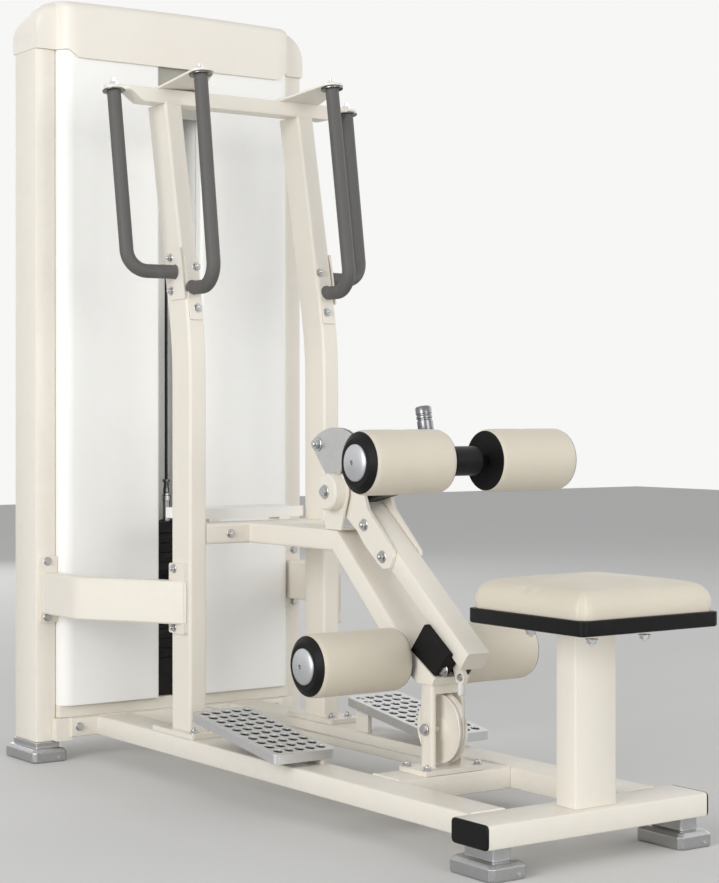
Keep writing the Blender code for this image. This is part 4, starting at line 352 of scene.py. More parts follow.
def shade(data: bpy.types.Mesh, sharp: float) -> None:
    """Shade a mesh smooth, with edges of more than a number of degrees left sharp."""
    data.shade_smooth()
    data.set_sharp_from_angle(angle=math.radians(sharp))


def mirrored(points: Iterable[Sequence[float]], axis: np.ndarray = X_AXIS) -> list[tuple]:
    """Give each point, and the axis through it, on the left side and then on the right side."""
    points = list(points)
    return [((sign * x, y, z), axis * (sign, 1.0, 1.0)) for _, sign in SIDES for x, y, z in points]


def grid_mesh(name: str, grid: np.ndarray, wrap: bool = True, flat_ends: bool = True,
              sharp: float = 35.0) -> bpy.types.Object:
    """Skin a grid of points with quads.

    Point (i, j) joins (i+1, j) and (i, j+1); wrap closes each row on itself. Rows whose points
    coincide become poles when doubles merge.

    Args:
        name: the object's name.
        grid: points, shaped (rows, columns, 3).
        wrap: whether each row is a closed ring.
        flat_ends: whether the first and the last ring are closed with a flat face.
        sharp: angle in degrees from which an edge stays sharp.
    Returns:
        The object, at the origin, with outward faces.
    """
    rows, columns = grid.shape[:2]
    index = np.arange(rows * columns).reshape(rows, columns)
    after = np.roll(index, -1, axis=1) if wrap else index[:, 1:]
    near = index if wrap else index[:, :-1]
    quads = np.stack([near[:-1], after[:-1], after[1:], near[1:]], axis=-1).reshape(-1, 4)
    faces = quads.tolist()
    if flat_ends:
        faces += [index[0][::-1].tolist(), index[-1].tolist()]
    return finish_mesh(name, grid.reshape(-1, 3), faces, sharp)


def finish_mesh(name: str, points: np.ndarray, faces: list, sharp: float) -> bpy.types.Object:
    """Put points and faces in a mesh, merge its doubles and turn its faces outwards.

    Args:
        name: the object's name.
        points: points, shaped (count, 3).
        faces: lists of point indices.
        sharp: angle in degrees from which an edge stays sharp.
    Returns:
        The object, linked to the scene.
    """
    data = bpy.data.meshes.new(name)
    data.from_pydata(points.tolist(), [], faces)
    mesh = bmesh.new()
    mesh.from_mesh(data)
    bmesh.ops.remove_doubles(mesh, verts=mesh.verts, dist=MERGE_DISTANCE)
    bmesh.ops.dissolve_degenerate(mesh, edges=mesh.edges, dist=MERGE_DISTANCE / 10)
    bmesh.ops.recalc_face_normals(mesh, faces=mesh.faces)
    mesh.to_mesh(data)
    mesh.free()
    shade(data, sharp)
    return linked(name, data)


def merge(name: str, pieces: Iterable[bpy.types.Object]) -> bpy.types.Object:
    """Join several objects into the first one.

    Args:
        name: name of the result.
        pieces: objects that sit at the origin.
    Returns:
        One object that holds all their meshes.
    """
    pieces = list(pieces)
    mesh = bmesh.new()
    for piece in pieces:
        mesh.from_mesh(piece.data)
    data = bpy.data.meshes.new(name)
    mesh.to_mesh(data)
    mesh.free()
    for piece in pieces:
        old = piece.data
        bpy.data.objects.remove(piece)
        bpy.data.meshes.remove(old)
    return linked(name, data)


def bevel(obj: bpy.types.Object, width: float, segments: int = 2, angle: float = 30.0) -> None:
    """Round the sharp edges of an object.

    Args:
        obj: the object.
        width: width of the rounding.
        segments: faces across the rounding.
        angle: angle in degrees from which an edge is rounded.
    """
    modifier = obj.modifiers.new("EdgeRound", "BEVEL")
    modifier.width = width
    modifier.segments = segments
    modifier.limit_method = "ANGLE"
    modifier.angle_limit = math.radians(angle)
    modifier.harden_normals = True
    modifier.use_clamp_overlap = True


def circle(axis: np.ndarray, steps: int) -> tuple[np.ndarray, np.ndarray]:
    """A unit circle square to an axis: cos t * u + sin t * v, with u and v square to the axis.

    Args:
        axis: unit vector of the axis.
        steps: points round the circle.
    Returns:
        The angle of each point, and the points, shaped (steps, 3).
    """
    helper = Z_AXIS if abs(axis @ Z_AXIS) < NEARLY_ALONG else X_AXIS
    side = np.cross(helper, axis)
    side = side / np.linalg.norm(side)
    angle = np.linspace(0.0, TURN, steps, endpoint=False)
    return angle, np.outer(np.cos(angle), side) + np.outer(np.sin(angle), np.cross(axis, side))


def turned(name: str, profile: Sequence[tuple[float, float]], centre: Sequence[float],
           axis: np.ndarray = X_AXIS, steps: int = 48, sharp: float = 35.0) -> bpy.types.Object:
    """Turn a profile about an axis.

    Point = centre + axis * along + radius * a point of the unit circle square to the axis.

    Args:
        name: the object's name.
        profile: (along, radius) pairs; a radius of 0 closes an end with a pole.
        centre: the point where along is 0.
        axis: unit vector of the axis.
        steps: points round the axis.
        sharp: angle in degrees from which an edge stays sharp.
    Returns:
        The turned solid.
    """
    shape = np.asarray(profile, dtype=float)
    along, radius = shape[:, 0], shape[:, 1]
    _, ring = circle(axis, steps)
    grid = np.asarray(centre) + along[:, None, None] * axis + radius[:, None, None] * ring[None]
    closed = radius[0] < 1e-9 and radius[-1] < 1e-9
    return grid_mesh(name, grid, True, not closed, sharp)


def swept(name: str, path: np.ndarray, radius: np.ndarray | float, reference: np.ndarray,
          sides: int = 24) -> bpy.types.Object:
    """Carry a circle along a path.

    Each ring is square to the path's tangent; its first axis is the tangent crossed with the
    reference, so the rings never twist.

    Args:
        name: the object's name.
        path: points, shaped (count, 3).
        radius: one radius, or one for each point.
        reference: a direction that the path never runs along.
        sides: points round each ring.
    Returns:
        The tube, with flat ends.
    """
    tangent = np.gradient(path, axis=0)
    tangent /= np.linalg.norm(tangent, axis=1, keepdims=True)
    first = np.cross(tangent, reference)
    first /= np.linalg.norm(first, axis=1, keepdims=True)
    second = np.cross(tangent, first)
    angle = np.linspace(0.0, TURN, sides, endpoint=False)
    ring = (np.cos(angle)[None, :, None] * first[:, None, :]
            + np.sin(angle)[None, :, None] * second[:, None, :])
    size = np.broadcast_to(np.asarray(radius, dtype=float), (len(path),))
    return grid_mesh(name, path[:, None, :] + size[:, None, None] * ring, sharp=40.0)


def fillet_path(points: Sequence[Sequence[float]], radius: float, steps: int = 14) -> np.ndarray:
    """A path whose inner corners are arcs, with extra points along its straight runs.

    Args:
        points: corners of the path.
        radius: radius of every arc.
        steps: points on each arc.
    Returns:
        The path's points, shaped (count, 3).
    """
    corners = np.asarray(points, dtype=float)
    runs = [corners[:1]]
    for before, corner, after in zip(corners, corners[1:], corners[2:]):
        back = (before - corner) / np.linalg.norm(before - corner)
        ahead = (after - corner) / np.linalg.norm(after - corner)
        half = math.acos(float(np.clip(back @ ahead, -1.0, 1.0))) / 2
        middle = (back + ahead) / np.linalg.norm(back + ahead)
        centre = corner + middle * radius / math.sin(half)
        first = corner + back * radius / math.tan(half) - centre
        last = corner + ahead * radius / math.tan(half) - centre
        turn = math.pi - 2 * half
        share = np.linspace(0.0, 1.0, steps)
        weights = np.stack([np.sin((1 - share) * turn), np.sin(share * turn)], 1) / math.sin(turn)
        runs.append(centre + weights @ np.stack([first, last]))
    runs.append(corners[-1:])
    return np.concatenate(runs)


def rounded_outline(corners: Sequence[Sequence[float]], radius: float | Sequence[float],
                    steps: int = 6) -> np.ndarray:
    """A closed 2-D outline with arcs for corners.

    Args:
        corners: (a, b) corners in order.
        radius: one radius, or one for each corner.
        steps: points on each arc.
    Returns:
        The outline's points, shaped (count, 2).
    """
    points = np.asarray(corners, dtype=float)
    radii = np.broadcast_to(np.asarray(radius, dtype=float), (len(points),))
    arcs = []
    for place, corner in enumerate(points):
        before, after = points[place - 1], points[(place + 1) % len(points)]
        if radii[place] <= 0:
            arcs.append(corner[None])
            continue
        loop = np.array([[*before, 0.0], [*corner, 0.0], [*after, 0.0]])
        arcs.append(fillet_path(loop, float(radii[place]), steps)[1:-1, :2])
    return np.concatenate(arcs)


def extruded(name: str, outline: np.ndarray, low: float, high: float, axis: int,
             edge: float = 0.0) -> bpy.types.Object:
    """Carry a flat outline along one axis.

    Args:
        name: the object's name.
        outline: (a, b) points in the two other axes, in their order.
        low: start along the axis.
        high: end along the axis.
        axis: 0, 1 or 2.
        edge: rounding of the end edges, made with a live bevel.
    Returns:
        The solid.
    """
    others = [index for index in range(3) if index != axis]
    grid = np.zeros((2, len(outline), 3))
    grid[:, :, others] = outline[None]
    grid[0, :, axis], grid[1, :, axis] = low, high
    obj = grid_mesh(name, grid, sharp=30.0)
    if edge > 0:
        bevel(obj, edge)
    return obj


def box_outline(low: Sequence[float], high: Sequence[float], radius: float,
                steps: int = 6) -> np.ndarray:
    """A rectangle with rounded corners, as an outline."""
    corners = [low, (high[0], low[1]), high, (low[0], high[1])]
    return rounded_outline(corners, radius, steps)


def hex_radius(angle: np.ndarray, flat: float) -> np.ndarray:
    """Radius of a hexagon at each angle: half its width over the cosine from the nearest flat."""
    return flat / np.cos(np.mod(angle, math.pi / 3) - math.pi / 6)


def read_points(obj: bpy.types.Object) -> np.ndarray:
    """Points of a mesh, shaped (count, 3)."""
    points = np.empty(len(obj.data.vertices) * 3)
    obj.data.vertices.foreach_get("co", points)
    return points.reshape(-1, 3)


def write_points(obj: bpy.types.Object, points: np.ndarray) -> None:
    """Put points back in a mesh."""
    obj.data.vertices.foreach_set("co", points.ravel())
    obj.data.update()


def bake_modifiers(obj: bpy.types.Object) -> None:
    """Replace a mesh by what its modifiers make of it."""
    graph = bpy.context.evaluated_depsgraph_get()
    data = bpy.data.meshes.new_from_object(obj.evaluated_get(graph))
    old = obj.data
    obj.modifiers.clear()
    obj.data = data
    bpy.data.meshes.remove(old)


def inflate(obj: bpy.types.Object, rest: np.ndarray, limit: float) -> None:
    """Swell a closed mesh with Cloth under pressure, and cap how far each point moves.

    Args:
        obj: the mesh object.
        rest: its points before.
        limit: the farthest that a point may move.
    """
    cloth = obj.modifiers.new("Fill", "CLOTH")
    cloth.settings.use_pressure = True
    cloth.settings.uniform_pressure_force = CLOTH_PRESSURE
    cloth.settings.effector_weights.gravity = 0.0
    cloth.point_cache.frame_start, cloth.point_cache.frame_end = 1, CLOTH_FRAMES
    scene = bpy.context.scene
    for step in range(1, CLOTH_FRAMES + 1):
        scene.frame_set(step)
    bake_modifiers(obj)
    scene.frame_set(1)
    moved = read_points(obj) - rest
    length = np.linalg.norm(moved, axis=1, keepdims=True)
    write_points(obj, rest + moved * np.minimum(1.0, limit / np.maximum(length, 1e-9)))


@dataclass(frozen=True)
class Bolt:
    """Hexagon bolt head on a washer, seen from outside the part that it clamps."""

    flat: float = 0.0075
    head: float = 0.0065
    washer: float = 0.0115
    washer_thickness: float = 0.0018
    stud: float = 0.0
    head_heights: tuple = (0.0, 0.02, 0.55, 0.72, 0.86, 1.0, 1.0)
    head_cone: tuple = (0.0, 2.0, 1.30, 1.19, 1.11, 1.02, 0.0)

    def build(self, name: str, seat: Sequence[float], axis: Sequence[float]) -> bpy.types.Object:
        """Make the head, its washer and, if it has one, the stud end beyond the nut.

        The head's radius at (angle, height) is the smaller of a hexagon and a cone, which gives
        the curved chamfer of a real bolt.

        Args:
            name: the object's name.
            seat: the point on the surface.
            axis: direction out of the surface.
        Returns:
            One object.
        """
        out = np.asarray(axis, dtype=float)
        out /= np.linalg.norm(out)
        base = np.asarray(seat, dtype=float)
        thick = self.washer_thickness
        disc = turned(f"{name}_washer", [(0.0, 0.0), (0.0, self.washer), (thick * 0.7, self.washer),
                                         (thick, self.washer * 0.95), (thick, 0.0)], base, out, 28)
        angle, ring = circle(out, 36)
        cone = self.flat * np.array(self.head_cone)
        radius = np.minimum(hex_radius(angle, self.flat)[None], cone[:, None])
        height = thick + np.array(self.head_heights) * self.head
        grid = base + height[:, None, None] * out + radius[:, :, None] * ring[None]
        parts = [disc, grid_mesh(f"{name}_head", grid, True, False, 30.0)]
        if self.stud > 0:
            top, tip = thick + self.head, thick + self.head + self.stud
            stud = [(top - 0.001, 0.0), (top - 0.001, self.flat * 0.55),
                    (tip - 0.001, self.flat * 0.55), (tip, self.flat * 0.42), (tip, 0.0)]
            parts.append(turned(f"{name}_stud", stud, base, out, 20))
        return merge(name, parts)


class Assembly:
    """A group of pieces: it dresses each one and reports it."""

    title = "assembly"

    def dress(self, obj: bpy.types.Object, finish: Finish, body: Body | None, *nodes: str,
              slot: str | None = None) -> bpy.types.Object:
        """Give a piece its finish and its body, and hide the nodes it stands for.

        Args:
            obj: the piece.
            finish: its finish.
            body: the body that carries it, or None for a piece that rides on no body.
            nodes: CAD nodes that it replaces.
            slot: not used.
        Returns:
            The piece.
        """
        obj.data.materials.clear()
        obj.data.materials.append(finish.material())
        if body:
            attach(obj, body.value)
        if nodes:
            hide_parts(*nodes)
        LOG.info("%s: %s, %d faces", self.title, obj.name, len(obj.data.polygons))
        return obj

    def refined(self, node: str, finish: Finish, body: Body, edge: float = 0.0008,
                angle: float = 32.0, segments: int = 2) -> bpy.types.Object:
        """Stand a merged copy of a CAD node in its place, with soft edges.

        Args:
            node: the CAD node.
            finish: the copy's finish.
            body: the body that carries it.
            edge: rounding of its sharp edges.
            angle: angle in degrees from which an edge is rounded.
            segments: faces across the rounding.
        Returns:
            The copy.
        """
        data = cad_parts[node].data.copy()
        mesh = bmesh.new()
        mesh.from_mesh(data)
        bmesh.ops.remove_doubles(mesh, verts=mesh.verts, dist=CAD_MERGE_DISTANCE)
        bmesh.ops.dissolve_limit(mesh, angle_limit=CAD_FLAT_ANGLE, verts=mesh.verts,
                                 edges=mesh.edges)
        mesh.to_mesh(data)
        mesh.free()
        data.name = f"{node}_body"
        shade(data, angle)
        obj = linked(data.name, data)
        if edge > 0:
            bevel(obj, edge, segments, angle)
        return self.dress(obj, finish, body, node)

    def bolts(self, name: str, places: Sequence[tuple], body: Body, pattern: Bolt,
              finish: Finish = ZINC_STEEL) -> bpy.types.Object:
        """One piece that holds several equal bolts.

        Args:
            name: the piece's name.
            places: (seat, axis) of each bolt.
            body: the body that carries them.
            pattern: the bolt.
            finish: their finish.
        Returns:
            The piece.
        """
        made = [pattern.build(f"{name}_{number}", seat, axis)
                for number, (seat, axis) in enumerate(places)]
        obj = merge(name, made)
        shade(obj.data, 30.0)
        return self.dress(obj, finish, body)


@dataclass
class BaseFrame(Assembly):
    """Low frame of flat tube, its feet and the bolts that hold them."""

    title = "base frame"
    screw_shift: float = 0.022
    screw_height: float = 0.0105
    angle_plate_bolt: tuple = (0.304, 0.822, 0.086)
    weld: float = 0.0032
    weld_pitch: float = 0.0042
    rail_top: float = 0.1088
    rail_edges: tuple = (0.1526, 0.2526)
    rail_ends: tuple = (-0.7398, 0.8222)

    def build(self) -> None:
        """Make every piece of the base."""
        for node in ("front_crosstube", "rail_left", "rail_right", "rear_crosstube",
                     "post_crossbar"):
            self.refined(node, CREAM, Body.FRAME, 0.0006)
        for side, _ in SIDES:
            self.refined(f"crosstube_cap_{side}", MOULDED_BLACK, Body.FRAME, 0.0012)
            self.refined(f"foot_front_{side}", FOOT_ALUMINIUM, Body.FRAME, 0.0014, 20.0, 3)
            self.refined(f"foot_rear_{side}", FOOT_ALUMINIUM, Body.FRAME, 0.0014, 20.0, 3)
        self.foot_screws()
        self.welds()

    def foot_screws(self) -> None:
        """The small screw in the front face of each foot, and the bolt of each angle plate."""
        places = []
        for side, _ in SIDES:
            for foot in (f"foot_front_{side}", f"foot_rear_{side}"):
                low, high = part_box(foot)
                places.append((((low[0] + high[0]) / 2 + self.screw_shift, low[1] - 0.0001,
                                self.screw_height), -Y_AXIS))
        screw = Bolt(flat=0.0032, head=0.0018, washer=0.0048, washer_thickness=0.0008)
        self.bolts("foot_screws", places, Body.FRAME, screw)
        plate = mirrored([self.angle_plate_bolt], -Y_AXIS)
        self.bolts("rear_tube_bolts", plate, Body.FRAME, Bolt())

    def weld_bead(self, name: str, begin: np.ndarray, stop: np.ndarray) -> bpy.types.Object:
        """A rippled bead: a tube whose radius swells with a sine along its run."""
        length = float(np.linalg.norm(stop - begin))
        share = np.linspace(0.0, 1.0, max(int(length / 0.0011), 12))
        path = begin + share[:, None] * (stop - begin)
        ripple = 1.0 + 0.16 * np.sin(share * length / self.weld_pitch * TURN)
        taper = np.sqrt(np.clip(np.minimum(share, 1 - share) * length / 0.004, 0.05, 1.0))
        direction = (stop - begin) / length
        reference = Z_AXIS if abs(direction @ Z_AXIS) < NEARLY_ALONG else X_AXIS
        return swept(name, path, self.weld * ripple * taper, reference, 8)

    def welds(self) -> None:
        """Beads where the rails meet the crosstubes and the post crossbar meets the rails."""
        top = self.rail_top
        runs = [((x, -0.7400, 0.065), (x, -0.7400, 0.104)) for x in self.rail_edges]
        runs += [((0.160, y, top), (0.246, y, top)) for y in self.rail_ends]
        runs.append(((0.1525, -0.374, top), (0.1525, -0.276, top)))
        beads = [self.weld_bead(f"weld_{side}_{number}", *(np.array(run) * (sign, 1.0, 1.0)))
                 for side, sign in SIDES for number, run in enumerate(runs)]
        self.dress(merge("base_weld_beads", beads), CREAM, Body.FRAME)


@dataclass
class Tower(Assembly):
    """Weight tower: columns, beams, guards, cover and cap."""

    title = "weight tower"
    outer: float = 0.4095
    column_width: float = 0.057
    front: float = 0.859
    top: float = 1.842
    guard_front: float = 0.824
    guard_outer: float = 0.318
    guard_inner: float = 0.064
    guard_bottom: float = 0.1416
    guard_corner: float = 0.009
    sheet: float = 0.0018
    cap_crown: float = 1.974
    cap_low: float = 1.934
    cap_shoulder: float = 0.068
    cap_drop: float = 0.060
    cap_fall: float = 0.70
    apron_half: float = 0.305
    apron_ramp: float = 0.030
    apron_bottom: float = 1.8225
    apron_wall: float = 0.006
    cap_back_y: float = 0.991
    front_round: tuple = (0.034, 0.024)
    back_round: tuple = (0.030, 0.024)
    cover_screw: tuple = (0.386, 0.9922)
    slot_panel: tuple = (1.17, 1.764)
    slot_panel_back: float = 0.975
    slot_head: tuple = (1.690, 1.8415)
    slot_head_depth: tuple = (0.8300, 0.8320)

    def build(self) -> None:
        """Make every piece of the tower."""
        for side, _ in SIDES:
            self.refined(f"column_{side}", CREAM, Body.FRAME, 0.0008)
        for node in ("tower_top_beam", "tower_bottom_beam"):
            self.refined(node, CREAM, Body.FRAME, 0.0008)
        self.refined("back_cover", GUARD_WHITE, Body.FRAME, 0.0008)
        self.guards()
        self.shroud()
        self.cap()
        self.cover_screws()

    def guards(self) -> None:
        """Bent sheet guards: a return at the slot, a flat face and a quarter-ellipse side.

        The outer line is offset inwards by the sheet's thickness along its normal.
        """
        outer = self.outer - self.column_width - GAP
        turn = np.linspace(0.0, math.pi / 2, 16)
        corner, front = self.guard_corner, self.guard_front
        inner = np.column_stack([self.guard_inner + corner * (1 - np.cos(turn)),
                                 front + corner * (1 - np.sin(turn))])
        sweep = np.column_stack([outer - (outer - self.guard_outer) * (1 - np.sin(turn)),
                                 front + (self.front - front) * (1 - np.cos(turn))])
        line = np.concatenate([[(self.guard_inner, front + 0.030)], inner, sweep,
                               [(outer, self.front + 0.0095)]])
        tangent = np.gradient(line, axis=0)
        tangent /= np.linalg.norm(tangent, axis=1, keepdims=True)
        wall = line + np.column_stack([-tangent[:, 1], tangent[:, 0]]) * self.sheet
        outline = np.concatenate([line, wall[::-1]])
        for side, sign in SIDES:
            sheet = extruded(f"guard_sheet_{side}", outline * (sign, 1.0), self.guard_bottom,
                             self.top - 0.0005, 2)
            self.dress(sheet, GUARD_WHITE, Body.FRAME, f"guard_{side}")

    def shroud(self) -> None:
        """Panels beside the slot above the stack's travel, and the plate at the slot's head, its
        cream darkened to grey as painted shade.
        """
        for side, sign in SIDES:
            low, high = sorted((sign * self.guard_inner, sign * (self.guard_inner + 0.0016)))
            wall = box_outline((low, self.guard_front + 0.028), (high, self.slot_panel_back),
                               0.0004, 2)
            panel = extruded(f"slot_panel_{side}", wall, *self.slot_panel, 2)
            self.dress(panel, GUARD_WHITE, Body.FRAME)
        half, (bottom, top) = self.guard_inner + 0.010, self.slot_head
        head = box_outline((-half, bottom), (half, top), 0.004)
        plate = extruded("slot_head_plate", head, *self.slot_head_depth, 1, 0.0004)
        # The plate's grey is painted shade on cream paint.
        self.dress(plate, SLOT_PAINTED_SHADE, Body.FRAME)

    def cap_front(self, x: np.ndarray) -> np.ndarray:
        """Front of the cap: straight over the guards, then back with them on a quarter circle."""
        reach = self.outer - self.column_width - GAP - self.guard_outer
        beyond = np.clip((np.abs(x) - self.guard_outer) / reach, 0.0, 1.0)
        sweep = (self.front - self.guard_front) * (1 - np.sqrt(1 - beyond ** 2))
        return np.minimum(self.guard_front - 0.008 + sweep, self.front - 0.001)

    def cap(self) -> None:
        """Moulded cap, one closed surface.

        Across, stations bunch towards the shoulders, where the crown falls as a quarter ellipse.
        Each station's outline runs back edge, underside, apron, rounded front edge, crown and
        rounded back edge; both roundings are quarter ellipses.
        """
        half = self.outer + 0.001
        spread = np.sin(np.linspace(-math.pi / 2, math.pi / 2, 121)) * half
        x = np.sort(np.concatenate([spread, [sign * edge for _, sign in SIDES
                                             for edge in (self.apron_half, 0.335, 0.353)]]))
        seat, back = self.top + GAP, self.cap_back_y
        inside = np.clip((np.abs(x) - (half - self.cap_shoulder)) / self.cap_shoulder, 0.0, 1.0)
        drop = self.cap_drop * (1 - np.sqrt(1 - inside ** 2))
        crown = self.cap_crown - drop - 0.006 * (x / half) ** 2
        rear = self.cap_low - drop * self.cap_fall
        face = self.cap_front(x)
        rise = np.clip((np.abs(x) - self.apron_half) / self.apron_ramp, 0.0, 1.0)
        lip = self.apron_bottom + (seat - self.apron_bottom) * rise
        wall = face + self.apron_wall
        depth = back - face
        turn = np.linspace(0.0, math.pi / 2, 9)
        flat = np.zeros_like(x)
        rows_y = [back + flat, wall, wall, face, face - 0.0030 * (1 - rise)]
        rows_z = [seat + flat, seat + flat, lip, lip, (seat + crown) / 2]
        (reach, fall), (rear_reach, rear_fall) = self.front_round, self.back_round
        rear_edge = rear + 0.010
        for angle in turn:
            rows_y.append(face + reach * (1 - math.cos(angle)))
            rows_z.append(crown - fall * (1 - math.sin(angle)))
        for share in np.linspace(0.15, 0.9, 6):
            rows_y.append(face + reach + (depth - reach - rear_reach) * share)
            rows_z.append(crown - (crown - rear_edge) * share ** 2.2)
        for angle in turn[1:]:
            rows_y.append(back - rear_reach * (1 - math.sin(angle)) + flat)
            rows_z.append(rear_edge - rear_fall * (1 - math.cos(angle)))
        grid = np.stack([np.stack([x, y, z], axis=-1) for y, z in zip(rows_y, rows_z)], axis=1)
        obj = grid_mesh("moulded_cap", grid, sharp=50.0)
        bevel(obj, 0.0012, 2, 45.0)
        self.dress(obj, CAP_CREAM, Body.FRAME, "top_cap")

    def cover_screws(self) -> None:
        """Button screws down both edges of the back cover."""
        head = Bolt(flat=0.0052, head=0.0032, washer=0.0075, washer_thickness=0.0010)
        places = [(*self.cover_screw, float(z)) for z in np.linspace(0.24, 1.76, 6)]
        self.bolts("cover_screws", mirrored(places, Y_AXIS), Body.FRAME, head)


@dataclass
class WeightStack(Assembly):
    """Plates, guide rods, stem and selector pin behind the guards."""

    title = "weight stack"
    front: float = 0.857
    depth: float = 0.090
    split: float = 0.450
    top: float = 0.6085
    plate: float = 0.0257
    groove: float = 0.0035
    rod_x: float = 0.100
    rod_radius: float = 0.0100
    rod_ends: tuple = (0.1416, 1.7647)
    collar: tuple = ((0.0, 0.0107), (0.0, 0.0150), (0.0015, 0.0160), (0.0060, 0.0160),
                     (0.0070, 0.0148), (0.0070, 0.0107))
    sleeve: tuple = ((0.0, 0.0), (0.0, 0.0145), (0.004, 0.0145), (0.005, 0.0102),
                     (0.052, 0.0102), (0.0535, 0.0125), (0.066, 0.0125), (0.068, 0.0108),
                     (0.073, 0.0108), (0.0745, 0.0))

    def build(self) -> None:
        """Make every piece of the stack."""
        self.refined("lower_stack", IRON_BLACK, Body.FRAME, 0.0012, 40.0)
        self.refined("raised_stack", IRON_BLACK, Body.STACK, 0.0012, 40.0)
        middle, (low, high) = self.front + self.depth / 2, self.rod_ends
        for side, sign in SIDES:
            rod = turned(f"guide_rod_{side}_bar",
                         [(low, 0.0), (low, self.rod_radius), (high, self.rod_radius), (high, 0.0)],
                         (sign * self.rod_x, middle, 0.0), Z_AXIS, 40)
            self.dress(rod, CHROME, Body.FRAME, f"guide_rod_{side}")
            collar = turned(f"guide_collar_{side}", self.collar,
                            (sign * self.rod_x, middle, self.top + GAP), Z_AXIS, 36)
            self.dress(collar, MOULDED_BLACK, Body.STACK)
        sleeve = turned("stem_sleeve", self.sleeve, (0.0, middle, self.top + GAP), Z_AXIS, 40)
        self.dress(sleeve, CHROME, Body.STACK)
        self.pin()

    def pin(self) -> None:
        """Selector pin: a shank with a ribbed knob whose radius ripples along its length."""
        middle = self.split + (self.plate - self.groove) / 2
        share = np.linspace(0.0, 1.0, 34)
        ribs = 0.0128 + 0.0011 * np.cos(share * 7 * TURN) * (share > 0.1) * (share < 0.9)
        ribs[-3:] = ribs[-3:] * np.array([0.97, 0.88, 0.66])
        profile = [(0.048, 0.0), (0.048, 0.0028), (0.045, 0.0046), (-GAP, 0.0046), (-GAP, 0.0085),
                   (-0.008, 0.0088)]
        profile += list(zip((-0.0095 - share * 0.0240).tolist(), ribs.tolist()))
        profile.append((-0.0340, 0.0))
        knob = turned("selector_pin_knob", profile, (0.0, self.front, middle), Y_AXIS, 40)
        self.dress(knob, MOULDED_BLACK, Body.STACK_PIN, "selector_pin")


